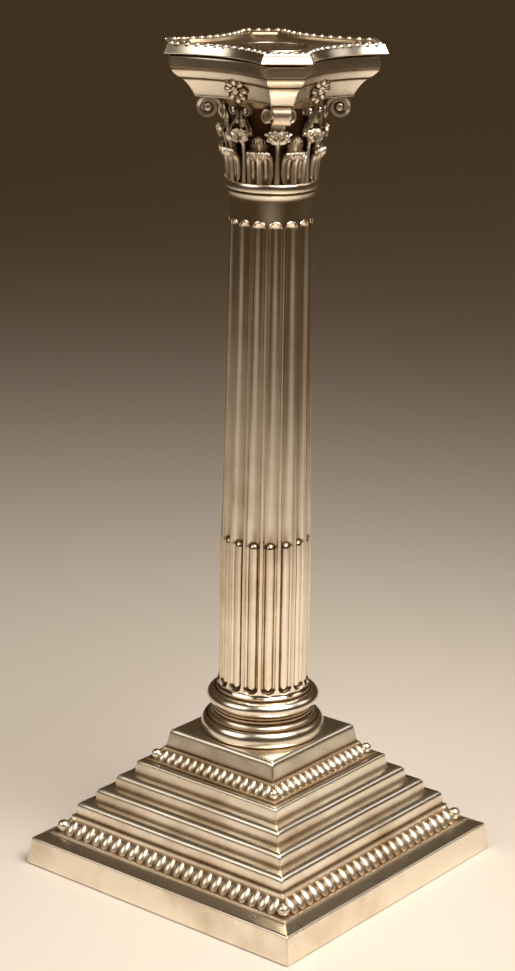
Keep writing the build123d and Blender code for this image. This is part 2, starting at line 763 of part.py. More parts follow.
def rim_places(reach, height):
    """Bead centres round the pan: evenly along each hollow side and each corner face."""
    cut = pan_corner_half(reach)
    places = []
    for quarter in range(4):
        first, second = corner_points(reach, cut, quarter)
        following = corner_points(reach, cut, quarter + 1)[0]
        corner_beads = round(2 * cut / rim_bead_corner_pitch)
        for k in range(corner_beads):
            share = (k + 0.5) / corner_beads
            places.append((first[0] + (second[0] - first[0]) * share,
                           first[1] + (second[1] - first[1]) * share, height))
        middle = ((second[0] + following[0]) / 2, (second[1] + following[1]) / 2)
        half_chord = hypot(following[0] - second[0], following[1] - second[1]) / 2
        sag = side_sag(reach)
        radius = (half_chord ** 2 + sag ** 2) / (2 * sag)
        outwards = 1 + (radius - sag) / hypot(*middle)
        centre = (middle[0] * outwards, middle[1] * outwards)
        start = atan2(second[1] - centre[1], second[0] - centre[0])
        sweep = atan2(following[1] - centre[1], following[0] - centre[0]) - start
        sweep = (sweep + radians(180)) % radians(360) - radians(180)
        side_beads = round(abs(sweep) * radius / rim_bead_side_pitch)
        for k in range(side_beads):
            angle = start + sweep * (k + 0.5) / side_beads
            places.append((centre[0] + radius * cos(angle), centre[1] + radius * sin(angle),
                           height))
    return places


rim_bead_z = pan_rim_z + rim_bead_sink * rim_bead / 2
wire_half = rim_bead * 0.3
with BuildPart() as nozzle_beads:
    with BuildSketch(Plane.XY.offset(pan_rim_z)):
        add(pan_section(0, pan_bead_reach + wire_half))
        add(pan_section(0, pan_bead_reach - wire_half), mode=Mode.SUBTRACT)
    extrude(amount=rim_bead * 0.25)
    with Locations(*rim_places(pan_bead_reach, rim_bead_z)):
        Sphere(rim_bead / 2)
    with Locations((0, 0, pan_rim_z)):
        Box(wide, wide, wide, align=(Align.CENTER, Align.CENTER, Align.MAX), mode=Mode.SUBTRACT)
finish(nozzle_beads.part, "nozzle_beads")

with BuildPart() as nozzle_seat:
    with BuildSketch(Plane.XY.offset(abacus_top_z)):
        Circle(well_radius + well_wall + seat_width)
        Circle(socket_radius + joint_gap, mode=Mode.SUBTRACT)
    extrude(amount=pan_gap)
finish(nozzle_seat.part, "nozzle_seat")

with BuildPart() as nozzle_socket:
    with BuildSketch(Plane.XZ):
        with BuildLine():
            mouth = pan_floor_z + lift_rim_height
            lip_edge = (socket_radius + lift_rim_width, pan_floor_z)
            floor_top = socket_bottom_z + socket_floor
            Polyline((socket_radius, pan_floor_z), (socket_radius, socket_bottom_z),
                     (candle_bore + floor_rebate, socket_bottom_z),
                     (candle_bore + floor_rebate, floor_top), (candle_bore, floor_top),
                     (candle_bore, mouth), (socket_radius, mouth))
            ThreePointArc((socket_radius, mouth),
                          (socket_radius + lift_rim_width * 0.75, pan_floor_z + lift_rim_height * 0.7),
                          lip_edge)
            Line(lip_edge, (socket_radius, pan_floor_z))
        make_face()
    revolve(axis=Axis.Z)
finish(nozzle_socket.part, "nozzle_socket")

with BuildPart() as socket_bottom:
    with Locations((0, 0, socket_bottom_z)):
        Cylinder(candle_bore + floor_rebate, socket_floor,
                 align=(Align.CENTER, Align.CENTER, Align.MIN))
finish(socket_bottom.part, "socket_bottom")
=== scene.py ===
"""The looks of a loaded silver column candlestick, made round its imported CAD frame.

Every surface is a grid of points worked out with numpy in millimetres and put into a mesh in
metres. A point attribute called "tarnish" runs from 0 on a rubbed edge to 1 in a recess.
"""

import json
import math

import bpy
import numpy as np
from mathutils import Matrix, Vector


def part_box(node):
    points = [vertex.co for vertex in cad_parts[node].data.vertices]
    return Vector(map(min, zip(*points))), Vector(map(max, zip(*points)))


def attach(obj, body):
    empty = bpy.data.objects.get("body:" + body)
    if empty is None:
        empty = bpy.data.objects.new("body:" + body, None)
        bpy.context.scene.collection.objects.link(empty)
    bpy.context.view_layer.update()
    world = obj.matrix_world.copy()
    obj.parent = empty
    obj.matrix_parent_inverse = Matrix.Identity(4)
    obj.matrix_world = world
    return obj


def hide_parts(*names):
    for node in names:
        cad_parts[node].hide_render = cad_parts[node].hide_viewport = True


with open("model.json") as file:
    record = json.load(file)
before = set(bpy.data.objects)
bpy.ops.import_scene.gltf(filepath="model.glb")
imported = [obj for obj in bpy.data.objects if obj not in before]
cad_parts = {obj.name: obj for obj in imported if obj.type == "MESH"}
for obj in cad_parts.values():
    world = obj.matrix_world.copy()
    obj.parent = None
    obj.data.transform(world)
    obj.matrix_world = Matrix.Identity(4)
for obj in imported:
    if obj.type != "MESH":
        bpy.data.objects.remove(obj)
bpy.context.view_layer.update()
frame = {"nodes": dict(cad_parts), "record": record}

bl_info = {
    "name": "Column Candlestick",
    "version": (1, 0, 0),
    "blender": (4, 5, 0),
    "location": "3D View > Sidebar > Candlestick",
    "description": "Silver column candlestick with a stepped foot, leaf capital and lift-out nozzle",
    "category": "Add Mesh",
}

MM = 0.001


# ------------------------------------------------------------------ sizes read from the frame
def corners_mm(node):
    """Lowest and highest corner of a CAD node in millimetres."""
    low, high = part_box(node)
    return np.array(low) / MM, np.array(high) / MM


FOOT_LOW, FOOT_HIGH = corners_mm("base_shell")
LOWER_BAND_LOW, _ = corners_mm("lower_bead_moulding")
UPPER_BAND_LOW, _ = corners_mm("upper_bead_moulding")
BASE_LOW, BASE_HIGH = corners_mm("column_base")
SHAFT_LOW, SHAFT_HIGH = corners_mm("column_shaft")
RING_LOW, RING_HIGH = corners_mm("neck_ring")
BELL_LOW, BELL_HIGH = corners_mm("capital_bell")
LOW_LEAF_LOW, LOW_LEAF_HIGH = corners_mm("lower_leaves")
_, TALL_LEAF_HIGH = corners_mm("upper_leaves")
VOLUTE_LOW, VOLUTE_HIGH = corners_mm("corner_volutes")
ABACUS_LOW, ABACUS_HIGH = corners_mm("abacus_shell")
PAN_LOW, PAN_HIGH = corners_mm("nozzle_pan")
SOCKET_LOW, SOCKET_HIGH = corners_mm("nozzle_socket")
LOWER_BAND_HALF, UPPER_BAND_HALF = 53.9, 29.69   # half widths of the bands' lower edges
PAN_REACH = 37.4                                 # axis to a corner face of the nozzle's pan
PAN_RIM = PAN_REACH - 1.2                        # the same at the top of its bevelled rim


# ------------------------------------------------------------------ profiles
def half_round(start, end, out, steps=14):
    """Half an ellipse from start to end that stands out by out to the right of the way there.

    Along the chord it goes as (1 - cos a) / 2 and away from it as sin a, with a from 0 to pi.
    """
    start, end = np.array(start, float), np.array(end, float)
    turn = np.linspace(0, math.pi, steps)[:, None]
    chord = end - start
    right = np.array([chord[1], -chord[0]]) / np.hypot(*chord)
    return start + chord * (1 - np.cos(turn)) / 2 + right * out * np.sin(turn)


def quarter_round(start, end, upright_first, steps=10):
    """A quarter of an ellipse: from start to end by 1 - cos a on one axis and sin a on the other."""
    start, end = np.array(start, float), np.array(end, float)
    turn = np.linspace(0, math.pi / 2, steps)[:, None]
    shares = (1 - np.cos(turn), np.sin(turn)) if upright_first else (np.sin(turn), 1 - np.cos(turn))
    return start + (end - start) * np.hstack(shares)


def line_through(*parts):
    """Points and curves joined end to end, with repeated points left out."""
    points = np.concatenate([np.atleast_2d(np.array(part, float)) for part in parts])
    keep = np.r_[True, np.hypot(*np.diff(points, axis=0).T) > 1e-6]
    return points[keep]


def rounded_line(corners, radii, steps=7):
    """A line of straight runs whose listed corners are replaced by arcs that touch both runs."""
    corners = np.array(corners, float)
    parts = [corners[0]]
    for index in range(1, len(corners) - 1):
        radius = radii.get(index, 0)
        corner = corners[index]
        if not radius:
            parts.append(corner)
            continue
        back = corners[index - 1] - corner
        ahead = corners[index + 1] - corner
        back, ahead = back / np.hypot(*back), ahead / np.hypot(*ahead)
        opening = math.acos(np.clip(back @ ahead, -1, 1))
        reach = radius / math.tan(opening / 2)
        middle = back + ahead
        centre = corner + middle / np.hypot(*middle) * radius / math.sin(opening / 2)
        first, last = corner + back * reach - centre, corner + ahead * reach - centre
        share = np.linspace(0, 1, steps)[:, None]
        sweep = math.acos(np.clip(first @ last / radius ** 2, -1, 1))
        arc = (np.sin((1 - share) * sweep) * first + np.sin(share * sweep) * last) / math.sin(sweep)
        parts.append(centre + arc)
    return line_through(*parts, corners[-1])


def close_set(points, spacing):
    """The same line with points added so that none lie further apart than spacing."""
    gaps = np.hypot(*np.diff(points, axis=0).T)
    pieces = np.maximum(1, np.ceil(gaps / spacing)).astype(int)
    starts = np.repeat(np.arange(len(gaps)), pieces)
    share = (np.arange(pieces.sum()) - np.repeat(np.cumsum(pieces) - pieces, pieces)) / pieces[starts]
    inner = points[starts] + (points[starts + 1] - points[starts]) * share[:, None]
    return np.vstack([inner, points[-1]])


def nearness(points, marks, width):
    """1 at each marked point, falling off as a bell curve of this width."""
    marks = np.atleast_2d(np.array(marks, float))
    gaps = np.hypot(*(points[:, None, :] - marks[None, :, :]).transpose(2, 0, 1))
    return np.exp(-(gaps.min(axis=1) / width) ** 2)


def smooth_line(points, count):
    """A line through the points whose speed at each is half the step between its neighbours."""
    points = np.array(points, float)
    before = np.vstack([2 * points[0] - points[1], points, 2 * points[-1] - points[-2]])
    place = np.linspace(0, len(points) - 1, count)
    cell = np.minimum(place.astype(int), len(points) - 2)
    t = (place - cell)[:, None]
    p0, p1, p2, p3 = (before[cell + k] for k in range(4))
    return 0.5 * (2 * p1 + (p2 - p0) * t + (2 * p0 - 5 * p1 + 4 * p2 - p3) * t ** 2
                  + (3 * p1 - p0 - 3 * p2 + p3) * t ** 3)


def eased(low, high, value):
    """0 below low, 1 above high, and 3t^2 - 2t^3 between them."""
    t = np.clip((value - low) / (high - low), 0, 1)
    return t * t * (3 - 2 * t)


# ------------------------------------------------------------------ patches: points, faces, tarnish
def grid_faces(rows, cols, close_rows=False, close_cols=False):
    """Four-sided faces of a grid of points numbered row by row."""
    i = np.arange(rows if close_rows else rows - 1)[:, None]
    j = np.arange(cols if close_cols else cols - 1)[None, :]
    across, up = (j + 1) % cols, (i + 1) % rows
    return np.stack([i * cols + j, i * cols + across, up * cols + across, up * cols + j],
                    axis=-1).reshape(-1, 4)


def facing_out(points, faces):
    """The faces turned over if the volume that they close comes out negative."""
    volume = 0.0
    for block in faces:
        for k in range(1, block.shape[1] - 1):
            a, b, c = points[block[:, 0]], points[block[:, k]], points[block[:, k + 1]]
            volume += np.einsum("ij,ij->", a, np.cross(b, c))
    return [block[:, ::-1] for block in faces] if volume < 0 else list(faces)


def loop_patch(points, tarnish):
    """A ring-shaped surface: both ways round its grid of points close on themselves."""
    rows, cols = points.shape[:2]
    flat = points.reshape(-1, 3)
    shade = np.broadcast_to(tarnish, (rows, cols)).reshape(-1)
    return flat, facing_out(flat, [grid_faces(rows, cols, True, True)]), shade


def slab_patch(front, back, tarnish, back_tarnish=0.8):
    """Two grids of points made one closed solid by strips along their four edges."""
    rows, cols = front.shape[:2]
    count = rows * cols
    points = np.concatenate([front.reshape(-1, 3), back.reshape(-1, 3)])
    sheet = grid_faces(rows, cols)
    number = np.arange(count).reshape(rows, cols)
    rim = np.concatenate([number[0, :-1], number[:-1, -1], number[-1, :0:-1], number[:0:-1, 0]])
    ahead = np.roll(rim, -1)
    strip = np.stack([ahead, rim, rim + count, ahead + count], axis=-1)
    shade = np.concatenate([np.broadcast_to(tarnish, (rows, cols)).reshape(-1),
                            np.broadcast_to(back_tarnish, count)])
    return points, facing_out(points, [sheet, sheet[:, ::-1] + count, strip]), shade


def capped_patch(rings, poles, shade):
    """Rings of points joined into a closed solid, with a fan of triangles to a pole at each end."""
    rows, around = rings.shape[:2]
    count, j = rows * around, np.arange(around)
    ahead, last = (j + 1) % around, count - around
    points = np.vstack([rings.reshape(-1, 3), poles])
    top = np.stack([ahead, j, np.full(around, count)], axis=-1)
    bottom = np.stack([last + j, last + ahead, np.full(around, count + 1)], axis=-1)
    return points, facing_out(points, [grid_faces(rows, around, False, True), top, bottom]), shade


def ball_patch(around, along, half_sizes, tarnish=0.0):
    """An ellipsoid with its poles on Z: (cos a sin b, sin a sin b, cos b) times the half sizes."""
    b = np.linspace(0, math.pi, along + 1)[1:-1, None]
    a = np.arange(around)[None, :] * 2 * math.pi / around
    rings = np.stack([np.cos(a) * np.sin(b), np.sin(a) * np.sin(b), np.cos(b) + 0 * a], axis=-1)
    poles = np.array([[0, 0, 1], [0, 0, -1]]) * half_sizes
    return capped_patch(rings * half_sizes, poles, np.full(rings.shape[0] * around + 2, tarnish))


def oval_patch(wide, tall, tube, around=28, across=8):
    """A ring in the plane of Y and Z: an ellipse's point, with its half sizes grown by a small circle."""
    t = np.arange(around)[:, None] * 2 * math.pi / around
    s = np.arange(across)[None, :] * 2 * math.pi / across
    grow = tube * np.cos(s)
    points = np.stack([tube * np.sin(s) + 0 * t, (wide + grow) * np.cos(t),
                       (tall + grow) * np.sin(t)], axis=-1)
    return loop_patch(points, 0.1)


def copies(patch, turns, shifts):
    """A patch repeated at each turn (3 x 3 matrices) and shift."""
    points, faces, shade = patch
    turns, shifts = np.array(turns, float), np.array(shifts, float)
    placed = np.einsum("kij,nj->kni", turns, points) + shifts[:, None, :]
    steps = np.arange(len(turns))[:, None, None] * len(points)
    blocks = [(block[None] + steps).reshape(-1, block.shape[1]) for block in faces]
    return placed.reshape(-1, 3), blocks, np.tile(shade, len(turns))


def turns_about_z(degrees):
    """Turning matrices about Z, rows (cos a, -sin a, 0), (sin a, cos a, 0) and (0, 0, 1)."""
    a = np.radians(np.atleast_1d(degrees).astype(float))
    zero, one = np.zeros_like(a), np.ones_like(a)
    rows = [[np.cos(a), -np.sin(a), zero], [np.sin(a), np.cos(a), zero], [zero, zero, one]]
    return np.array(rows).transpose(2, 0, 1)


def ring_of(patch, count, start=0.0):
    """A patch repeated evenly round the Z axis."""
    return copies(patch, turns_about_z(start + 360 / count * np.arange(count)), np.zeros((count, 3)))


def spun_patch(profile, tarnish, segments=160):
    """A closed profile of (radius, height) carried round the Z axis."""
    a = np.arange(segments) * 2 * math.pi / segments
    radius, height = profile[:, 0:1], profile[:, 1:2]
    points = np.stack([radius * np.cos(a), radius * np.sin(a), height + 0 * a], axis=-1)
    return loop_patch(points, tarnish[:, None])


def new_piece(name, patches, node, kind, sharp_degrees, body="candlestick"):
    """Joins patches into one mesh object of a kind of silver that stands for a CAD node."""
    starts = np.cumsum([0] + [len(points) for points, _, _ in patches])
    blocks = [block + start for (_, faces, _), start in zip(patches, starts) for block in faces]
    points = np.concatenate([patch[0] for patch in patches]) * MM
    loops = np.concatenate([block.ravel() for block in blocks])
    sizes = np.concatenate([np.full(len(block), block.shape[1]) for block in blocks])
    mesh = bpy.data.meshes.new(name)
    mesh.vertices.add(len(points))
    mesh.vertices.foreach_set("co", points.astype(np.float32).ravel())
    mesh.loops.add(len(loops))
    mesh.loops.foreach_set("vertex_index", loops.astype(np.int32))
    mesh.polygons.add(len(sizes))
    mesh.polygons.foreach_set("loop_start", (np.cumsum(sizes) - sizes).astype(np.int32))
    mesh.update(calc_edges=True)
    if mesh.validate():
        raise RuntimeError(f"{name} has faces that the mesh can't hold")
    shade = mesh.attributes.new("tarnish", "FLOAT", "POINT")
    shade.data.foreach_set("value", np.concatenate([patch[2] for patch in patches]).astype(np.float32))
    mesh.shade_smooth()
    mesh.set_sharp_from_angle(angle=math.radians(sharp_degrees))
    mesh.materials.append(silver(kind))
    piece = bpy.data.objects.new(name, mesh)
    bpy.context.scene.collection.objects.link(piece)
    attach(piece, body)
    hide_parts(node)


# ------------------------------------------------------------------ materials
def linear(colour):
    """An sRGB hex colour as linear red, green, blue and alpha."""
    parts = np.array([int(colour[k:k + 2], 16) / 255 for k in (0, 2, 4)])
    lin = np.where(parts <= 0.04045, parts / 12.92, ((parts + 0.055) / 1.055) ** 2.4)
    return (*lin.tolist(), 1.0)


def add_node(tree, kind, inputs=None, **settings):
    """Adds a node; settings are its properties and inputs are values or the sockets that feed it."""
    node = tree.nodes.new("ShaderNode" + kind)
    for key, value in settings.items():
        setattr(node, key, value)
    for key, value in (inputs or {}).items():
        if isinstance(value, bpy.types.NodeSocket):
            tree.links.new(value, node.inputs[key])
        else:
            node.inputs[key].default_value = value
    return node


def empty_material(name):
    """A material with no nodes, and its node tree."""
    material = bpy.data.materials.new(name)
    material.use_nodes = True
    material.node_tree.nodes.clear()
    return material, material.node_tree


def finish_material(tree, shader):
    """Links a shader to the material's output."""
    add_node(tree, "OutputMaterial", {"Surface": shader.outputs[0]})


def silver_material(name, bright, warm, dark, rough, patina=1.0, cloud=0.10, dent=0.25,
                    dent_size=14.0, lines=(1, 1, 1), line_size=1.2, line_depth=0.004):
    """Silver that is bright on its edges and oxidised in its recesses.

    bright, warm and dark are the colours from rubbed metal to a full recess. rough is the
    roughness of the rubbed metal. patina multiplies the recesses' tarnish, and cloud is how
    much cloudy patina lies over it. dent_size is the width in millimetres of the sheet's slow
    waves, and dent is their height in hundredths of it. lines stretches the fine polishing
    marks, line_size is their spacing and line_depth their height as a share of it.
    """
    material, tree = empty_material(name)
    place = add_node(tree, "TexCoord").outputs["Object"]
    clouds = add_node(tree, "TexNoise", {"Vector": place, "Scale": 1 / (22 * MM), "Detail": 4.0,
                                         "Roughness": 0.55})
    specks = add_node(tree, "TexNoise", {"Vector": place, "Scale": 1 / (1.6 * MM), "Detail": 3.0,
                                         "Roughness": 0.7})
    recess = add_node(tree, "Attribute", attribute_name="tarnish", attribute_type="GEOMETRY")
    spread = add_node(tree, "MapRange", {"Value": clouds.outputs["Fac"], "From Min": 0.35,
                                         "From Max": 0.75, "To Min": -cloud, "To Max": 2.2 * cloud})
    speckled = add_node(tree, "MapRange", {"Value": specks.outputs["Fac"], "From Min": 0.3,
                                           "From Max": 0.7, "To Min": 0.88, "To Max": 1.12})
    soot = add_node(tree, "Math", {0: recess.outputs["Fac"], 1: speckled.outputs["Result"]},
                    operation="MULTIPLY")
    depth = add_node(tree, "Math", {0: soot.outputs[0], 1: patina, 2: spread.outputs["Result"]},
                     operation="MULTIPLY_ADD", use_clamp=True)
    ramp = add_node(tree, "ValToRGB", {"Fac": depth.outputs[0]})
    ramp.color_ramp.elements[0].color = linear(bright)
    ramp.color_ramp.elements[1].color = linear(dark)
    middle = ramp.color_ramp.elements.new(0.42)
    middle.color = linear(warm)
    gloss = add_node(tree, "MapRange", {"Value": depth.outputs[0], "From Min": 0.0, "From Max": 1.0,
                                        "To Min": rough, "To Max": rough + 0.38})
    waves = add_node(tree, "TexNoise", {"Vector": place, "Scale": 1 / (dent_size * MM),
                                        "Detail": 1.0})
    stretched = add_node(tree, "Mapping", {"Vector": place, "Scale": lines})
    marks = add_node(tree, "TexNoise", {"Vector": stretched.outputs[0],
                                        "Scale": 1 / (line_size * MM), "Detail": 2.0})
    slow = add_node(tree, "Bump", {"Height": waves.outputs["Fac"], "Strength": 1.0,
                                   "Distance": dent * 0.01 * dent_size * MM})
    fine = add_node(tree, "Bump", {"Height": marks.outputs["Fac"], "Strength": 1.0,
                                   "Distance": line_depth * line_size * MM,
                                   "Normal": slow.outputs[0]})
    finish_material(tree, add_node(tree, "BsdfPrincipled", {
        "Base Color": ramp.outputs["Color"], "Metallic": 1.0, "Roughness": gloss.outputs["Result"],
        "Normal": fine.outputs[0]}))
    return material


def simple_material(name, colours, size, rough, bump, metallic=0.0, stretch=(1, 1, 1), sheen=0.0):
    """A material of two colours mixed by a noise of this size in millimetres, with bump from it."""
    material, tree = empty_material(name)
    place = add_node(tree, "TexCoord").outputs["Object"]
    stretched = add_node(tree, "Mapping", {"Vector": place, "Scale": stretch})
    grain = add_node(tree, "TexNoise", {"Vector": stretched.outputs[0], "Scale": 1 / (size * MM),
                                        "Detail": 4.0, "Roughness": 0.6})
    ramp = add_node(tree, "ValToRGB", {"Fac": grain.outputs["Fac"]})
    for element, position, colour in zip(ramp.color_ramp.elements, (0.35, 0.65), colours):
        element.position = position
        element.color = linear(colour)
    gloss = add_node(tree, "MapRange", {"Value": grain.outputs["Fac"], "To Min": rough[0],
                                        "To Max": rough[1]})
    relief = add_node(tree, "Bump", {"Height": grain.outputs["Fac"], "Strength": 0.6,
                                     "Distance": bump * MM})
    finish_material(tree, add_node(tree, "BsdfPrincipled", {
        "Base Color": ramp.outputs["Color"], "Metallic": metallic, "Sheen Weight": sheen,
        "Roughness": gloss.outputs["Result"], "Normal": relief.outputs[0]}))
    return material


def kept_material(name, maker, *args, **options):
    """A material by name, made the first time that it is asked for."""
    return bpy.data.materials.get(name) or maker(name, *args, **options)


SILVER = {
    # die-struck sheet, polished flat, slow waves from the hand burnisher
    "stamped": ("Silver_sheet_die_stamped", 0.25, {"dent": 0.4, "dent_size": 16.0, "lines": (1, 1, 3)}),
    # sheet turned on a lathe, fine rings round the axis
    "spun": ("Silver_sheet_spun", 0.20, {"dent": 0.2, "lines": (0.2, 0.2, 2), "line_size": 0.9}),
    # drawn tube, chased flutes, polished up and down
    "fluted": ("Silver_tube_fluted", 0.09, {"dent": 0.5, "dent_size": 18.0, "lines": (2, 2, 0.15),
                                            "line_size": 0.8}),
    # cast leaves cut with punches, satin and strongly oxidised
    "chased": ("Silver_cast_and_chased", 0.28, {"patina": 1.1, "cloud": 0.12, "dent": 0.5,
                                                "dent_size": 1.6, "line_depth": 0.01}),
    # rolled wire, rubbed bright on each bead's crown
    "bead": ("Silver_wire_beaded", 0.27, {"dent": 0.2, "dent_size": 3.0}),
    # thin stamped sheet that is handled and rubbed more than the rest
    "nozzle": ("Silver_nozzle_stamped", 0.19, {"patina": 0.9, "cloud": 0.12, "dent": 0.4,
                                               "dent_size": 12.0}),
    # unpolished sheet inside the well, dull grey from the candle's heat
    "inner": ("Silver_sheet_unpolished", 0.38, {"cloud": 0.3}),
}


def silver(kind):
    """The silver of one kind of work, in the colours of the settings."""
    name, rough, options = SILVER[kind]
    finishes = bpy.context.scene.candlestick_finish
    colours = (finishes.bright, finishes.warm, finishes.dark)
    if kind == "inner":
        colours = (finishes.warm, finishes.dark, finishes.dark)
    return kept_material(name, silver_material, *colours, rough, **options)


# ------------------------------------------------------------------ square mouldings
def square_round(side_steps, corner_steps):
    """Anchors, normals, place along the side and side number of points round a unit square.

    A side runs from -1 to 1 along its own direction, and each corner turns through a right
    angle in even steps.
    """
    anchors, normals, along, sides = [], [], [], []
    run = np.linspace(-1, 1, side_steps + 1)
    turn = np.linspace(0, math.pi / 2, corner_steps + 1)[1:-1]
    for side in range(4):
        out = np.array([math.cos(side * math.pi / 2), math.sin(side * math.pi / 2)])
        way = np.array([-out[1], out[0]])
        anchors += [out + way * run[:, None], np.tile(out + way, (len(turn), 1))]
        normals += [np.tile(out, (len(run), 1)),
                    np.cos(turn)[:, None] * out + np.sin(turn)[:, None] * way]
        along += [run, np.ones(len(turn))]
        sides.append(np.full(len(run) + len(turn), side))
    return np.vstack(anchors), np.vstack(normals), np.concatenate(along), np.concatenate(sides)


def square_patch(profile, tarnish, edge=0.35, roundness=None, wave=0.0, side_steps=22):
    """A closed profile of (half width, height) carried round a square with small rounded mitres.

    A point is (half - edge) times the square's anchor plus edge times its normal. roundness
    goes from 0, a square, to 1, a circle of that radius. wave is the height of slow hollows
    and swellings in the sides: three sines of the place along the side and of the height,
    which die out at the mitres, less their highest sum, so that they only go inwards.
    """
    anchors, normals, along, sides = square_round(side_steps, 4)
    half, height = profile[:, 0:1], profile[:, 1:2]
    swell = (np.sin(along * 2.3 + height * 0.21 + sides * 1.7)
             + np.sin(along * 5.1 - height * 0.33 + sides * 2.9)
             + 0.6 * np.sin(along * 9.7 + height * 0.55 + sides * 0.8)) - 2.6
    half = half + wave * swell * (1 - along ** 8)
    rim = np.minimum(edge, half)
    flat = (half - rim)[..., None] * anchors + rim[..., None] * normals
    if roundness is not None:
        circle = anchors / np.hypot(*anchors.T)[:, None]
        weight = roundness[:, None, None]
        flat = flat * (1 - weight) + profile[:, 0][:, None, None] * circle * weight
    points = np.concatenate([flat, np.broadcast_to(height, half.shape)[..., None]], axis=-1)
    return loop_patch(points, tarnish[:, None])


# ------------------------------------------------------------------ settings
def millimetres(name, default, text, low=0.0, high=500.0):
    """A length in millimetres as a property."""
    return bpy.props.FloatProperty(name=name, description=text, default=float(default), min=low,
                                   max=high, precision=2)


class FootSizes(bpy.types.PropertyGroup):
    """Sizes of the stepped foot."""
    half: millimetres("Half width", FOOT_HIGH[0], "Half the width of the foot at the table")
    top: millimetres("Block top", FOOT_HIGH[2], "Height of the block that carries the column")
    sheet: millimetres("Sheet", 1.0, "Thickness of the raised sheet")
    plinth: millimetres("Plinth", 9.7, "Height of the plinth's upright side")
    riser: millimetres("Riser", 4.88, "Height of one step")
    tread: millimetres("Tread", 4.52, "Depth of one step")
    edge: millimetres("Edge radius", 2.1, "Rounding of a step's edge")
    wave: millimetres("Wave", 0.035, "Height of the slow waves left by hand burnishing")


class BeadSizes(bpy.types.PropertyGroup):
    """Sizes of the two bead mouldings on the foot."""
    lower_pitch: millimetres("Lower pitch", 4.3, "Spacing of the lower beads")
    lower_length: millimetres("Lower length", 6.3, "Length of a lower bead up the slope")
    lower_width: millimetres("Lower width", 4.36, "Width of a lower bead")
    upper_pitch: millimetres("Upper pitch", 3.45, "Spacing of the upper beads")
    upper_length: millimetres("Upper length", 5.2, "Length of an upper bead up the slope")
    upper_width: millimetres("Upper width", 3.5, "Width of an upper bead")


class ColumnSizes(bpy.types.PropertyGroup):
    """Sizes of the column."""
    foot_radius: millimetres("Foot radius", 16.05, "Shaft radius above its flare")
    top_radius: millimetres("Top radius", RING_HIGH[0] - 1.7, "Shaft radius at the neck")
    flutes: bpy.props.IntProperty(name="Flutes", description="Number of flutes", default=16,
                                  min=8, max=32)
    flute_share: bpy.props.FloatProperty(name="Flute share", default=0.84, min=0.5, max=0.95,
                                         description="Flute width as a share of the spacing")
    flute_depth: millimetres("Flute depth", 1.5, "Depth of a flute")
    third: millimetres("Straight part", 48.2, "Length of the reeded straight part")
    reed_radius: millimetres("Reed radius", 1.95, "Radius of a reed")
    reed_rise: millimetres("Reed rise", 8.0, "How far the reeds end above the straight part")
    neck: millimetres("Neck", 12.2, "Plain neck above the flutes")


class CapitalSizes(bpy.types.PropertyGroup):
    """Sizes of the capital."""
    bell_radius: millimetres("Bell radius", BELL_HIGH[0] - 3.85, "Radius of the straight bell")
    leaf: millimetres("Leaf thickness", 0.9, "Thickness of a leaf")
    low_half: millimetres("Low leaf", 4.5, "Half the width of a low leaf")
    tall_half: millimetres("Tall leaf", 4.7, "Half the width of a tall leaf's head")
    scroll: millimetres("Scroll radius", 3.8, "Radius of a corner scroll")
    scroll_half: millimetres("Scroll half width", 3.2, "Half the width of a corner scroll")
    flower: millimetres("Flower radius", 5.2, "Radius of the flower on each side")


class PlateSizes(bpy.types.PropertyGroup):
    """Sizes of the abacus and the nozzle's pan, two hollow-sided squares with cut corners."""
    corner: millimetres("Corner", 3.75, "Half a corner face at the underside")
    corner_growth: bpy.props.FloatProperty(name="Corner growth", default=0.295,
                                           description="Growth of a corner face with the reach")
    hollow: millimetres("Hollow", 3.4, "How far a side curves in at the underside")
    hollow_growth: bpy.props.FloatProperty(name="Hollow growth", default=0.313,
                                           description="Growth of that hollow with the reach")
    foot_reach: millimetres("Reach", 26.8, "Axis to a corner face at the underside")
    rim_bead: millimetres("Rim bead", 2.6, "Diameter of a bead on the nozzle's rim")


class Finishes(bpy.types.PropertyGroup):
    """Colours of the silver and the stage, as sRGB hex."""
    bright: bpy.props.StringProperty(name="Rubbed silver", default="F8EFDF",
                                     description="Colour of rubbed silver")
    warm: bpy.props.StringProperty(name="Toned silver", default="BCA484",
                                   description="Colour of lightly toned silver")
    dark: bpy.props.StringProperty(name="Oxide", default="4E3722",
                                   description="Colour of oxide in the recesses")
    floor: bpy.props.StringProperty(name="Floor", default="DED3C6",
                                    description="Colour of the floor")


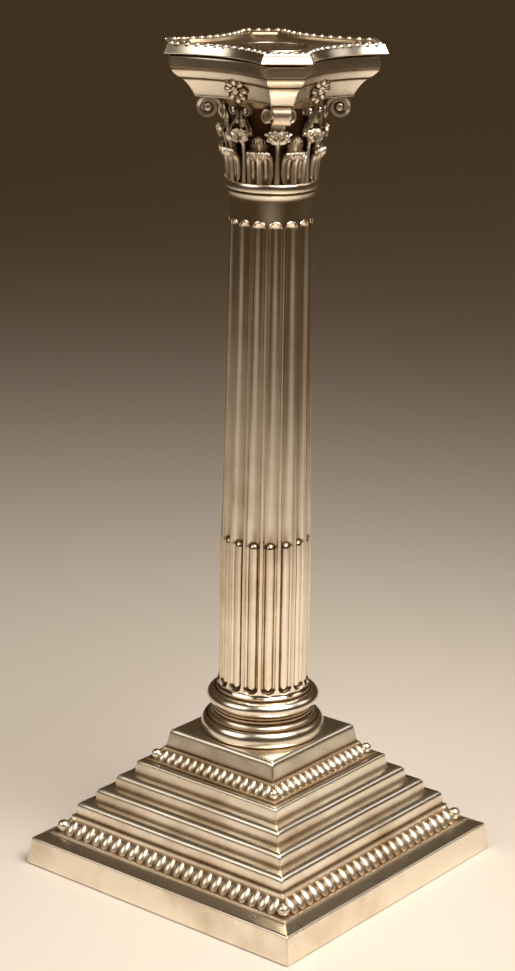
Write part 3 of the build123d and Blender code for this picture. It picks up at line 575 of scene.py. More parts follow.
# ------------------------------------------------------------------ foot
class CANDLESTICK_OT_foot(bpy.types.Operator):
    """Stepped square foot: one closed sheet profile carried round a square"""
    bl_idname = "candlestick.foot"
    bl_label = "Foot"

    def execute(self, context):
        """Each riser leans in by step_lean, and each tread climbs by step_rise to the next root.

        The last tread is short and ends at the wall behind the upper beads. The sheet's inside
        follows the steps loosely down to the rim.
        """
        sizes = context.scene.candlestick_foot
        rim = FOOT_LOW[2]
        band_low, band_half = LOWER_BAND_LOW[2], LOWER_BAND_HALF
        lower_back = 49.2
        plinth_lean, plinth_top = 1.4, rim + sizes.plinth
        step_lean, step_rise, root_radius = 0.55, 0.35, 0.9
        last_tread, last_rise, last_edge, last_root = 2.15, 0.3, 1.1, 0.3
        start = (lower_back - 1.1, band_low + 6.5)
        corners = [(sizes.half, rim), (sizes.half - plinth_lean, plinth_top),
                   (band_half + 0.5, band_low - 0.8), (band_half + 0.5, band_low),
                   (band_half, band_low), (band_half - 0.35, band_low - 0.7),
                   (lower_back, band_low - 0.7), (lower_back, band_low + 6.2), start]
        radii = {1: 0.9, 2: 0.35, 3: 0.2, 4: 0.15, 7: 0.35}
        roots = [corners[2], start]
        for step in range(4):
            edge = (start[0] - step_lean, start[1] + sizes.riser)
            tread, rise, edge_radius, root = (sizes.tread, step_rise, sizes.edge, root_radius)
            if step == 3:
                tread, rise, edge_radius, root = (last_tread, last_rise, last_edge, last_root)
            start = (edge[0] - tread, edge[1] + rise)
            radii.update({len(corners): edge_radius, len(corners) + 1: root})
            corners += [edge, start]
            roots.append(start)
        seat = UPPER_BAND_LOW[2]
        corners += [(start[0], seat), (start[0] - 0.5, seat), (start[0] - 0.8, seat - 0.5),
                    (start[0] - 4.6, seat - 0.5), (start[0] - 4.6, seat + 4.3),
                    (start[0] - 5.3, seat + 4.5)]
        radii.update({len(corners) - 6: 0.15, len(corners) - 2: 0.2, len(corners) - 1: 0.3})
        roots.append(corners[-1])
        radii[len(corners)] = 1.9
        corners += [(start[0] - 6.6, sizes.top), (18.0, sizes.top)]
        outside = close_set(rounded_line(corners, radii), 0.7)
        hole = 11.6
        under = sizes.top - sizes.sheet
        inside = np.array([(hole, sizes.top), (hole, under), (22.4, under), (28.0, 36.0),
                           (46.0, 19.0), (52.0, 10.6), (58.3, 9.2), (sizes.half - 1.1, rim)])
        profile = np.vstack([outside, inside])
        roundness = np.zeros(len(profile))
        roundness[len(outside):len(outside) + 2] = 1.0   # only the hole for the column is round
        tarnish = 0.75 * nearness(profile, roots[1:], 0.6) + 0.4 * nearness(profile, roots[:1], 0.4)
        tarnish += 0.16 * nearness(profile, roots[1:], 1.9)
        tarnish[len(outside):] = 0.9
        patch = square_patch(profile, np.clip(tarnish, 0, 1), 0.55, roundness, sizes.wave, 26)
        new_piece("stepped_foot", [patch], "base_shell", "stamped", 50)
        return {"FINISHED"}


def bead_row(row_half, height, lean, spacing, length, width, ball):
    """Ellipsoids along each side of a square, leaning back by lean, and a ball at each corner.

    A bead is darkest where it sinks into the band: its tarnish falls with the distance out
    along the band's own normal.
    """
    spaces = round(2 * row_half / spacing)
    run = np.linspace(-row_half, row_half, spaces + 1)[1:-1]
    bead = ball_patch(14, 8, (width / 2 * 0.66, width / 2, length / 2 * 1.06), 0.05)
    c, s = math.cos(lean), math.sin(lean)
    leaning = np.array([[c, 0, -s], [0, 1, 0], [s, 0, c]])
    side_turns = np.repeat(turns_about_z(90 * np.arange(4)), len(run), axis=0)
    shifts = np.tile(np.column_stack([np.full(len(run), row_half), run,
                                      np.full(len(run), height)]), (4, 1))
    shifts = np.einsum("kij,kj->ki", side_turns, shifts)
    points, faces, _ = copies(bead, side_turns @ leaning, shifts)
    across = np.maximum(abs(points[:, 0]), abs(points[:, 1]))
    out = (across - row_half) * math.cos(lean) + (points[:, 2] - height) * math.sin(lean)
    shade = np.clip(0.5 - out / (0.5 * width) * 0.8, 0.12, 0.75)
    balls = copies(ball_patch(14, 10, (ball / 2,) * 3, 0.05), turns_about_z(90 * np.arange(4)),
                   [(sx * row_half, sy * row_half, height) for sx in (1, -1) for sy in (1, -1)])
    return [(points, faces, shade), balls]


class CANDLESTICK_OT_bead_mouldings(bpy.types.Operator):
    """Two rows of long beads in a hollow band, with a ball at each corner"""
    bl_idname = "candlestick.bead_mouldings"
    bl_label = "Bead mouldings"

    def execute(self, context):
        sizes = context.scene.candlestick_beads
        rows = (("lower_beads", "lower_bead_moulding", LOWER_BAND_LOW[2], LOWER_BAND_HALF, 4.7, 4.9,
                 sizes.lower_pitch, sizes.lower_length, sizes.lower_width, 4.6),
                ("upper_beads", "upper_bead_moulding", UPPER_BAND_LOW[2], UPPER_BAND_HALF, 4.1, 3.7,
                 sizes.upper_pitch, sizes.upper_length, sizes.upper_width, 3.7))
        for name, node, seat, half, run, rise, pitch, length, width, ball in rows:
            hollow = quarter_round((half - 0.12, seat - 0.02), (half - run + 0.02, seat + rise),
                                   False, 12)
            profile = line_through((half + 0.05, seat - 0.35), (half, seat + 0.12), hollow[1:],
                                   (half - run - 0.03, seat + rise + 0.1),
                                   (half - run - 0.05, seat - 0.35))
            tarnish = np.full(len(profile), 0.62)
            tarnish[:2] = 0.1
            tarnish[-3:-1] = 0.25
            band = square_patch(profile, tarnish, 0.05, side_steps=4)
            lean = math.atan2(run, rise)
            beads = bead_row(half - run / 2 - 0.5, seat + rise / 2 - 0.28, lean, pitch, length,
                             width, ball)
            new_piece(name, [band, *beads], node, "bead", 60)
        return {"FINISHED"}


# ------------------------------------------------------------------ column
class CANDLESTICK_OT_column_base(bpy.types.Operator):
    """Attic base: two round mouldings with a hollow and fine fillets between them"""
    bl_idname = "candlestick.column_base"
    bl_label = "Column base"

    def execute(self, context):
        """From the bottom: a round moulding, a step, a quarter hollow, two fillets, a round moulding."""
        sizes = context.scene.candlestick_column
        foot, low = sizes.foot_radius, BASE_LOW[2]
        bore, step, ring, neck = 15.0, foot + 3.75, foot + 1.85, foot + 0.85
        outside = line_through(
            (bore, low + 0.02), half_round((foot + 5.1, low + 0.02), (step + 0.3, low + 5.5), 1.55, 20),
            (step, low + 5.6), (step, low + 6.1),
            quarter_round((step, low + 6.1), (ring + 0.3, low + 7.7), False),
            (ring, low + 7.8), (ring + 0.12, low + 8.1), (ring + 0.12, low + 8.9),
            (ring - 0.12, low + 9.05), (ring - 0.12, low + 9.25), (ring + 0.1, low + 9.4),
            (ring + 0.1, low + 10.1), (ring - 0.25, low + 10.35),
            half_round((neck + 0.5, low + 10.4), (neck + 0.35, low + 15.8), 2.9, 18),
            (neck, low + 15.95), (neck, BASE_HIGH[2]), (bore, BASE_HIGH[2]))
        profile = close_set(outside, 0.5)
        roots = [(step + 0.1, low + 5.5), (ring + 0.25, low + 7.75), (ring - 0.1, low + 9.15),
                 (ring - 0.2, low + 10.38), (neck + 0.1, low + 15.9), (foot + 5.3, low)]
        tarnish = np.clip(nearness(profile, roots, 0.45) + 0.25 * nearness(profile, roots, 1.2), 0, 1)
        new_piece("attic_base", [spun_patch(profile, tarnish, 176)], "column_base", "spun", 40)
        return {"FINISHED"}


def shaft_radius(height, sizes, straight_end, head):
    """The shaft's surface: straight, then drawn in by the 0.62 power of the way up."""
    way = np.clip((height - straight_end) / (head - straight_end), 0, 1)
    ease = ((way + 0.03) ** 0.62 - 0.03 ** 0.62) / (1.03 ** 0.62 - 0.03 ** 0.62)
    return sizes.foot_radius + (sizes.top_radius - sizes.foot_radius) * ease


class CANDLESTICK_OT_shaft(bpy.types.Operator):
    """Fluted shaft whose lower third is filled with reeds"""
    bl_idname = "candlestick.shaft"
    bl_label = "Shaft"

    def execute(self, context):
        """The radius is the shaft's surface less a round hollow of each flute, more a round reed.

        A flute's hollow depends on the distance from its own line, which ends short of the
        flute's ends, so that both ends are round. The reed is the same with its own radius.
        """
        sizes = context.scene.candlestick_column
        low = BASE_HIGH[2]
        flute_foot = low + 1.4
        straight_end = flute_foot + sizes.third
        head = SHAFT_HIGH[2] - sizes.neck
        reed_top = straight_end + sizes.reed_rise
        pitch = 2 * math.pi / sizes.flutes
        share = np.array([0, .1, .2, .3, .38, .45, .5, .54, .58, .64, .71, .77, .81, .84, .87, .91, .96])
        share = np.concatenate([-share[:0:-1], share])
        centre = np.arange(sizes.flutes)[:, None] * pitch
        theta = (centre + share * pitch / 2).ravel()
        heights = np.unique(np.round(np.concatenate([
            np.linspace(low, flute_foot, 7), np.linspace(flute_foot, flute_foot + 3.6, 18),
            np.linspace(flute_foot + 3.6, reed_top - 3.4, 8), np.linspace(reed_top - 3.4, reed_top + 0.6, 22),
            np.linspace(reed_top + 0.6, head - 3.4, 22), np.linspace(head - 3.4, head + 0.6, 24),
            [head + 3, SHAFT_HIGH[2]]]), 4))
        z = heights[:, None]
        surface = shaft_radius(z, sizes, straight_end, head) + 0 * theta
        x = ((theta + pitch / 2) % pitch - pitch / 2) * surface
        half = sizes.flute_share * pitch / 2 * surface
        depth = sizes.flute_depth
        past = np.clip(flute_foot + half - z, 0, None) + np.clip(z - head + half, 0, None)
        off_line = np.hypot(x, past)
        tool = (half ** 2 + depth ** 2) / (2 * depth)
        hollow = np.sqrt(np.clip(tool ** 2 - off_line ** 2, 0, None)) - (tool - depth)
        flute = -np.clip(hollow, 0, None)
        reed_radius = sizes.reed_radius
        reed_past = (np.clip(flute_foot + half - z, 0, None)
                     + np.clip(z - reed_top + reed_radius, 0, None))
        reed_off = np.hypot(x, reed_past)
        reed = np.sqrt(np.clip(reed_radius ** 2 - reed_off ** 2, 0, None)) - reed_radius - 0.1
        reed = np.where(reed_off < reed_radius, reed, -9.0)
        lip = (0.12 + 0.16 * eased(0, 2.0, past)) * np.exp(-((off_line / half - 1.02) / 0.07) ** 2)
        relief = np.maximum(flute, reed) + lip
        flare = 0.7 * (1 - np.sin(np.clip((z - low) / (flute_foot - low), 0, 1) * math.pi / 2))
        radius = surface + relief + flare
        crease = np.exp(-((flute - reed) / 0.42) ** 2) * (flute < -0.15)
        end = np.exp(-((off_line / half - 0.93) / 0.09) ** 2) * eased(0, 1.2, past)
        above_reed = np.exp(-((reed_off - reed_radius) / 0.55) ** 2) * eased(0, 1.0, reed_past)
        edge = 0.35 * np.exp(-((off_line / half - 0.93) / 0.05) ** 2)
        shade = np.clip(0.95 * crease + 0.85 * end + 0.9 * above_reed + edge, 0, 1)
        shade *= off_line / half < 0.985   # the land between two flutes is rubbed bright
        core, tail = 11.6, 14.95
        points = np.stack([radius * np.cos(theta), radius * np.sin(theta), z + 0 * theta], axis=-1)
        # the sheet's end, the tail inside the base and the core's wall close the profile
        inner = np.array([(tail, low), (tail, SHAFT_LOW[2]), (core, SHAFT_LOW[2]),
                          (core, SHAFT_HIGH[2])])
        ring = np.stack([inner[:, 0:1] * np.cos(theta), inner[:, 0:1] * np.sin(theta),
                         inner[:, 1:2] + 0 * theta], axis=-1)
        order = np.concatenate([points[::-1], ring])
        shades = np.concatenate([shade[::-1], np.full(ring.shape[:2], 0.9)])
        new_piece("fluted_shaft", [loop_patch(order, shades)], "column_shaft", "fluted", 60)
        return {"FINISHED"}


class CANDLESTICK_OT_neck_ring(bpy.types.Operator):
    """Ring between the shaft and the capital: a hollow, a groove and a round moulding"""
    bl_idname = "candlestick.neck_ring"
    bl_label = "Neck ring"

    def execute(self, context):
        sizes = context.scene.candlestick_column
        inner, low, high = sizes.top_radius + 0.05, RING_LOW[2], RING_HIGH[2]
        out = RING_HIGH[0]
        outside = line_through(
            (inner, low), (inner + 0.35, low),
            quarter_round((inner + 0.4, low + 0.1), (out - 0.3, low + 2.2), True),
            (out - 0.3, low + 2.45), (out - 0.75, low + 2.55), (out - 0.75, low + 2.85),
            half_round((out - 0.7, low + 2.9), (out - 0.75, high), 0.72, 14), (inner, high))
        profile = close_set(outside, 0.35)
        tarnish = nearness(profile, [(out - 0.75, low + 2.7), (inner + 0.3, low), (out - 0.75, high)], 0.4)
        new_piece("collar_ring", [spun_patch(profile, tarnish, 144)], "neck_ring", "spun", 40)
        return {"FINISHED"}


# ------------------------------------------------------------------ capital
def bell_line(bell, low, high, lip, straight=15.0, count=40):
    """Radius of the bell at each height: a straight stretch, then an arc out to its lip."""
    z = np.linspace(low, high, count)
    bend = low + straight
    rise = high - bend
    arc = (rise ** 2 + lip ** 2) / (2 * lip)
    return z, bell + np.where(z > bend, arc - np.sqrt(arc ** 2 - np.clip(z - bend, 0, None) ** 2), 0)


def leaf_patch(spine, halves, relief, thickness, droop, tarnish, rows=44, cols=33):
    """A leaf on the +X side of the bell, as a slab.

    spine is its middle line in (radius, height), and halves its half width along that line.
    relief is a function of x, the place across in millimetres, u, the same from -1 to 1, and
    v, the place along from 0 to 1; tarnish is one of u, v and the relief's height.
    A point lies at the middle line plus the line's normal times relief, and is carried round
    the axis by its place across, so that the leaf hugs the bell. droop lowers the edges by
    the 2.2 power of the place across. The back follows the relief only past the bend, and is
    as bright as the front there, because the curl shows it.
    """
    line = smooth_line(spine, rows)
    v = np.linspace(0, 1, rows)[:, None]
    u = np.linspace(-1, 1, cols)[None, :]
    half = np.interp(v[:, 0], np.linspace(0, 1, len(halves)), halves)[:, None]
    way = np.gradient(line, axis=0)
    way /= np.hypot(*way.T)[:, None]
    normal = np.column_stack([way[:, 1], -way[:, 0]])
    across = u * half
    height = relief(across, u, v)
    fall = droop(v) * np.abs(u) ** 2.2
    grids = []
    for offset in (height + thickness / 2, 0.8 * height * eased(0.5, 0.7, v) - thickness / 2):
        radius = line[:, 0:1] + normal[:, 0:1] * offset - 0.25 * fall
        z = line[:, 1:2] + normal[:, 1:2] * offset - fall
        angle = across / np.maximum(line[:, 0:1], 14.0)
        grids.append(np.stack([radius * np.cos(angle), radius * np.sin(angle), z], axis=-1))
    curl = np.broadcast_to(0.95 - 0.9 * eased(0.5, 0.68, v), (rows, cols)).reshape(-1)
    return slab_patch(*grids, np.clip(tarnish(u, v, height), 0, 1), curl)


def scalloped(places, halves, count, depth, start, samples=45):
    """Half widths given at places along a leaf, with rounded teeth past start.

    Each is multiplied by 1 - depth (1 - |sin(pi count way)|), with way from 0 to 1.
    """
    way = np.linspace(0, 1, samples)
    teeth = 1 - depth * (1 - np.abs(np.sin(way * math.pi * count))) * (way > start)
    return np.interp(way, places, halves) * teeth


class CANDLESTICK_OT_bell(bpy.types.Operator):
    """Bell of the capital, the ground behind the leaves"""
    bl_idname = "candlestick.bell"
    bl_label = "Bell"

    def execute(self, context):
        sizes = context.scene.candlestick_capital
        low, high = BELL_LOW[2], BELL_HIGH[2]
        z, radius = bell_line(sizes.bell_radius, low, high, BELL_HIGH[0] - sizes.bell_radius)
        bore = 12.8
        profile = np.vstack([np.column_stack([radius, z]), [(bore, high), (bore, low)]])
        tarnish = np.r_[np.full(len(z), 0.95), 0.9, 0.9]
        tarnish[-6:-2] = 0.5
        new_piece("bell_ground", [spun_patch(profile, tarnish, 128)], "capital_bell", "chased", 40)
        return {"FINISHED"}


class CANDLESTICK_OT_leaves(bpy.types.Operator):
    """Eight low, eight tall and eight small middle leaves, curled outwards"""
    bl_idname = "candlestick.leaves"
    bl_label = "Leaves"

    def execute(self, context):
        sizes = context.scene.candlestick_capital
        bell, low = sizes.bell_radius, LOW_LEAF_LOW[2]
        low_top, tall_top = LOW_LEAF_HIGH[2], TALL_LEAF_HIGH[2]

        def low_relief(x, u, v):
            """A middle rib, an arch on each side of it with a small rib inside, and fanned veins."""
            up = v * 13.5
            arch = np.hypot(np.abs(x) - 2.1, np.clip(up - 5.6, 0, None))
            ridge = 0.8 * np.exp(-((arch - 1.6) / 0.36) ** 2) * (up < 9.5)
            small = 0.55 * np.exp(-(arch / 0.45) ** 2) * eased(0.5, 1.5, up) * (up < 6.6)
            rib = 0.55 * np.exp(-(x / 0.42) ** 2) * (1 - 0.5 * v)
            veins = 0.26 * np.cos((np.abs(u) * 3.1 + v * 1.5) * 2 * math.pi) * eased(0.6, 0.72, v)
            return ridge + small + rib + veins + 0.25 * u ** 2

        def tall_relief(x, u, v):
            """A strong middle rib and veins that fan out over the head."""
            rib = 0.5 * np.exp(-(x / 0.5) ** 2) * (1 - 0.4 * v)
            veins = 0.34 * np.cos((np.abs(u) * 2.6 - v * 1.6) * 2 * math.pi) * eased(0.48, 0.62, v)
            return rib + veins + 0.3 * np.sqrt(np.clip(1 - u ** 2, 0, 1))

        low_spine = [(bell + 0.45, low), (bell + 0.6, low + 4), (bell + 0.95, low + 7.2),
                     (bell + 1.7, low + 9.0), (bell + 2.9, low + 10.5), (bell + 3.75, low_top - 0.75),
                     (bell + 3.95, low_top - 1.7), (bell + 3.4, low_top - 2.5)]
        low_halves = scalloped([0, .1, .5, .62, .8, .92, 1], [3.6, 4.5, 4.6, 4.1, 3.4, 2.4, 1.0],
                               7, 0.16, 0.45) * sizes.low_half / 4.5
        tall_spine = [(bell + 0.45, low), (bell + 0.5, low + 5), (bell + 0.6, low + 9.8),
                      (bell + 1.0, low + 13.0), (bell + 2.0, low + 15.6), (bell + 3.3, tall_top - 0.95),
                      (bell + 4.4, tall_top - 0.75), (bell + 4.8, tall_top - 1.5),
                      (bell + 4.4, tall_top - 2.3)]
        tall_halves = scalloped([0, .3, .46, .56, .7, .84, .94, 1],
                                [.95, .85, 1.2, 3.9, 4.9, 4.1, 2.4, 0.8],
                                8, 0.3, 0.5) * sizes.tall_half / 4.7

        def hollow_shade(u, v, height):
            """Dark where the relief is low and at the sides, bright on ribs and on the curl."""
            return 0.9 - 1.3 * height / 0.75 - 1.0 * eased(0.58, 0.8, v) + 0.15 * np.abs(u)

        low_leaf = leaf_patch(low_spine, low_halves, low_relief, sizes.leaf * 0.8,
                              lambda v: 1.1 * eased(0.6, 0.9, v), hollow_shade)
        tall_leaf = leaf_patch(tall_spine, tall_halves, tall_relief, sizes.leaf * 0.8,
                               lambda v: 2.9 * eased(0.5, 0.85, v), hollow_shade)
        middle_spine = [(bell + 0.4, low + 6), (bell + 0.9, low + 10.0), (bell + 1.5, low + 13.4),
                        (bell + 2.4, low + 15.6), (bell + 2.7, low + 16.6)]
        middle_halves = scalloped([0, .35, .55, .8, 1], [2.6, 3.5, 3.3, 1.8, 0.4], 5, 0.18, 0.2)
        middle_leaf = leaf_patch(middle_spine, middle_halves, tall_relief, sizes.leaf * 0.7,
                                 lambda v: 0.6 * v, hollow_shade, 32, 25)
        new_piece("low_leaves", [ring_of(low_leaf, 8, 22.5), ring_of(middle_leaf, 8, 22.5)],
                  "lower_leaves", "chased", 50)
        new_piece("tall_leaves", [ring_of(tall_leaf, 8)], "upper_leaves", "chased", 50)
        return {"FINISHED"}


def scroll_path(centre, outer, inner, start, turns, count=70):
    """Spiral about a centre: the radius falls from outer to inner by the 1.6 power of the turn."""
    share = np.linspace(0, 1, count)
    angle = math.radians(start) + share * turns * 2 * math.pi
    radius = outer + (inner - outer) * share ** 1.6
    return np.column_stack([centre[0] + radius * np.cos(angle), centre[1] + radius * np.sin(angle)])


def band_patch(path, half_width, thickness, basis, origin, tarnish, cols=9):
    """A band along a flat path, with raised edges, as a slab.

    A point lies at the path plus or minus half the thickness along its normal, and at the
    place across times the half width along the band's third direction. The front's middle is
    sunk by 0.3 of the thickness times one less the square of the place across. basis holds
    the three directions as rows, and origin is the path's zero.
    """
    way = np.gradient(path, axis=0)
    way /= np.hypot(*way.T)[:, None]
    normal = np.column_stack([way[:, 1], -way[:, 0]])
    across = np.linspace(-1, 1, cols)[None, :]
    width = np.broadcast_to(half_width, len(path))[:, None]
    thick = np.broadcast_to(thickness, len(path))[:, None]
    sink = 0.3 * thick * (1 - across ** 2)
    grids = []
    for offset in (thick / 2 - sink, np.broadcast_to(-thick / 2, sink.shape)):
        flat = [path[:, k:k + 1] + normal[:, k:k + 1] * offset for k in (0, 1)]
        local = np.stack([flat[0], flat[1], width * across + 0 * flat[0]], axis=-1)
        grids.append(local @ np.array(basis, float) + np.array(origin, float))
    shade = np.broadcast_to(tarnish, len(path))[:, None] + 0.06 * (1 - across ** 2)
    return slab_patch(*grids, np.clip(shade, 0, 1), 0.15)


class CANDLESTICK_OT_scrolls(bpy.types.Operator):
    """Corner scrolls with their stalks, and the small inner scrolls and oval rings between them"""
    bl_idname = "candlestick.scrolls"
    bl_label = "Scrolls"

    def execute(self, context):
        sizes = context.scene.candlestick_capital
        bell = sizes.bell_radius
        centre_z = (VOLUTE_LOW[2] + VOLUTE_HIGH[2]) / 2
        reach = bell + 8.1
        thick = 1.15
        outer = sizes.scroll - thick / 2
        stalk = smooth_line([(bell + 1.0, centre_z - 8.6), (bell + 1.6, centre_z - 5.4),
                             (bell + 2.6, centre_z - 1.6), (bell + 4.6, centre_z + 1.8),
                             (reach, centre_z + outer)], 26)
        spiral = scroll_path((reach, centre_z), outer, 1.75, 90, -1.35, 76)
        path = line_through(stalk, spiral[1:])
        turned = np.linspace(0, 1, len(path))
        angle = np.arctan2(path[:, 1] - centre_z, path[:, 0] - reach)
        waist = 0.72 * np.exp(-(angle / 0.75) ** 2) * (turned > 0.25) * (turned < 0.7)
        half = sizes.scroll_half * np.interp(turned, [0, .12, .25, 1], [.75, .72, 1, 1]) - waist
        away = [(1, 0, 0), (0, 0, 1), (0, 1, 0)]
        band = band_patch(path, half, thick - 0.45 * turned ** 2, away, (0, 0, 0), 0.08)
        boss = ball_patch(24, 12, (1.8, 1.8, sizes.scroll_half * 1.25))
        boss[0][:, 2] = np.clip(boss[0][:, 2], -sizes.scroll_half * 0.96, sizes.scroll_half * 0.96)
        upright = np.array([[1, 0, 0], [0, 0, 1], [0, -1, 0]], float)
        eye = copies(boss, [upright], [(reach, 0, centre_z)])
        new_piece("corner_scrolls", [ring_of(band, 4, 45), ring_of(eye, 4, 45)],
                  "corner_volutes", "chased", 50)

        small, rings = [], []
        oval = oval_patch(1.6, 2.1, 0.38)
        heart = ball_patch(16, 8, (0.45, 1.5, 2.0), 0.55)
        for side in (1, -1):
            stem = smooth_line([(3.9, centre_z - 8.0), (3.3, centre_z - 5.2), (1.5, centre_z - 2.8),
                                (0.75, centre_z - 0.6), (2.5, centre_z + 2.1)], 20)
            curl = scroll_path((2.6, centre_z + 0.35), 1.75, 0.55, 92, -1.2, 40)
            line = line_through(stem, curl[1:]) * (side, 1)
            basis = [(0, 1, 0), (0, 0, 1), (1, 0, 0)]
            small.append(band_patch(line, 0.95, 0.75, basis, (bell + 2.8, 0, 0), 0.12, 5))
            bead = ball_patch(12, 8, (0.8, 0.75, 0.95))
            small.append(copies(bead, [np.eye(3)], [(bell + 3.6, side * 2.6, centre_z + 0.35)]))
            small.append(copies(bead, [np.eye(3)], [(bell + 2.9, side * 1.5, centre_z - 3.4)]))
            # an oval ring on each side of a corner scroll, with a dark boss inside it
            rings += [copies(part, turns_about_z(side * 24), [(bell + 3.2, side * 4.1, centre_z - 1.0)])
                      for part in (oval, heart)]
        small.append(copies(ball_patch(14, 10, (0.9, 1.3, 2.2)), [np.eye(3)],
                            [(bell + 1.9, 0, centre_z - 4.2)]))
        small = [ring_of(part, 4) for part in small] + [ring_of(part, 4, 45) for part in rings]
        new_piece("inner_curls", small, "inner_scrolls", "chased", 50)
        return {"FINISHED"}


class CANDLESTICK_OT_flowers(bpy.types.Operator):
    """A flower of eight petals with a boss on each side of the abacus"""
    bl_idname = "candlestick.flowers"
    bl_label = "Flowers"

    def execute(self, context):
        """Height over the disc: a petal's crown across each eighth, a dip before the boss."""
        sizes = context.scene.candlestick_capital
        low, high = corners_mm("fleurons")
        petals = 8
        rings, spokes = 18, 96
        share = np.linspace(0.04, 1, rings)[:, None]
        a = np.arange(spokes)[None, :] * 2 * math.pi / spokes
        lobe = np.abs(np.cos(a * petals / 2))
        radius = sizes.flower * share * (0.74 + 0.22 * lobe ** 0.6 + 0.04 * np.sin(3 * a + 0.7))
        crown = 0.95 * lobe * np.sin(np.clip(share - 0.28, 0, 1) / 0.72 * math.pi) ** 0.8 * (share > 0.28)
        boss = 1.5 * np.sqrt(np.clip(1 - (share / 0.32) ** 2, 0, 1))
        height = 0.55 + crown + boss + 0.35 * share
        height[-1] *= 0.6
        front = np.stack([height, radius * np.cos(a), radius * np.sin(a)], axis=-1)
        back = front.copy()
        back[..., 0] = -1.0
        poles = [[height[0].mean() + 0.02, 0, 0], [-1.0, 0, 0]]
        shade = np.clip(1.05 - crown / 0.55 - boss, 0, 1)
        shade = np.concatenate([shade.ravel(), np.full(shade.size, 0.9), [0.1, 0.9]])
        lean = math.radians(24)
        middle = (low[2] + high[2]) / 2 + 0.8
        c, s = math.cos(lean), math.sin(lean)
        flower = capped_patch(np.concatenate([front, back[::-1]]), poles, shade)
        one = copies(flower, [[[c, 0, s], [0, 1, 0], [-s, 0, c]]], [(high[0] - 2.9, 0, middle)])
        new_piece("side_flowers", [ring_of(one, 4)], "fleurons", "chased", 50)
        return {"FINISHED"}


# ------------------------------------------------------------------ hollow-sided plates
def diagonal(degrees):
    """The direction at this angle, and the one a quarter turn further."""
    turn = math.radians(degrees)
    c, s = math.cos(turn), math.sin(turn)
    return np.array([c, s]), np.array([-s, c])


def plate_points(reach, height, cut, hollow, corner_steps=8, side_steps=36):
    """Grid of points of a square with cut corners and sides that curve in, one row per level.

    A corner face is a straight line across the diagonal at the reach. A side is the line
    between two corner faces, moved in by a circle's arc of the given depth.
    """
    reach, height, cut, hollow = (np.array(v, float)[:, None] for v in (reach, height, cut, hollow))
    rows = []
    for quarter in range(4):
        along, across = diagonal(90 * quarter + 45)
        after, after_across = diagonal(90 * quarter + 135)
        t = np.linspace(-1, 1, corner_steps, endpoint=False)[None, :]
        face = reach[..., None] * along + (cut * t)[..., None] * across
        second = reach[..., None] * along + cut[..., None] * across
        first = reach[..., None] * after - cut[..., None] * after_across
        s = np.linspace(0, 1, side_steps, endpoint=False)[None, :]
        chord = first - second
        half = np.hypot(chord[..., 0], chord[..., 1]) / 2
        radius = (half ** 2 + hollow ** 2) / (2 * hollow)
        depth = np.sqrt(radius ** 2 - ((2 * s - 1) * half) ** 2) - (radius - hollow)
        inward = -(along + after) / np.hypot(*(along + after))
        side = second + chord * s[..., None] + depth[..., None] * inward
        rows += [face, side]
    flat = np.concatenate(rows, axis=1)
    return np.concatenate([flat, np.broadcast_to(height, flat.shape[:2])[..., None]], axis=-1)


def corner_half(reach, sizes):
    """Half a corner face of the abacus at this reach."""
    return sizes.corner + sizes.corner_growth * (np.array(reach) - sizes.foot_reach)


def side_hollow(reach, sizes):
    """How far a side curves in at this reach."""
    return sizes.hollow + sizes.hollow_growth * (np.array(reach) - sizes.foot_reach)


class CANDLESTICK_OT_abacus(bpy.types.Operator):
    """Hollow-sided plate over the capital: a hollow, a fine line, a swelling and an upright edge"""
    bl_idname = "candlestick.abacus"
    bl_label = "Abacus"

    def execute(self, context):
        sizes = context.scene.candlestick_plates
        low, top = ABACUS_LOW[2], ABACUS_HIGH[2]
        foot, middle, edge = sizes.foot_reach, sizes.foot_reach + 4.55, sizes.foot_reach + 8.3
        outside = line_through(
            (foot - 0.2, low), half_round((foot, low + 0.15), (middle - 0.25, low + 5.75), -0.6, 16),
            (middle - 0.2, low + 6.0), (middle - 0.45, low + 6.12), (middle - 0.3, low + 6.4),
            half_round((middle - 0.1, low + 6.5), (edge - 0.35, low + 9.35), 0.55, 16),
            (edge - 0.45, low + 9.5), (edge - 0.02, low + 9.75), (edge, low + 10.0),
            (edge, top - 0.25), (edge - 0.2, top))
        outside = close_set(outside, 0.6)
        inside = np.array([(edge - 1.0, top), (edge - 1.0, low + 9.6), (middle - 1.0, low + 6.2),
                           (foot - 1.0, low + 1.0), (foot - 8.0, low + 1.0), (foot - 8.0, low)])
        profile = np.vstack([outside, inside])
        roots = [(middle - 0.42, low + 6.2), (edge - 0.4, low + 9.5)]
        tarnish = np.clip(0.8 * nearness(profile, roots, 0.4) + 0.1 * nearness(profile, roots, 1.0), 0, 1)
        tarnish[len(outside):] = 0.9
        reach = profile[:, 0]
        points = plate_points(reach, profile[:, 1], np.maximum(corner_half(reach, sizes), 0.8),
                              np.maximum(side_hollow(reach, sizes), 0.4))
        new_piece("abacus_mouldings", [loop_patch(points, tarnish[:, None])], "abacus_shell",
                  "stamped", 28)
        return {"FINISHED"}


def pan_corner_half(reach, sizes):
    """Half a corner face of the nozzle's pan: wider than the abacus's at the rim, narrower inwards."""
    return corner_half(PAN_RIM, sizes) + 0.82 - 0.37 * (PAN_RIM - np.array(reach))


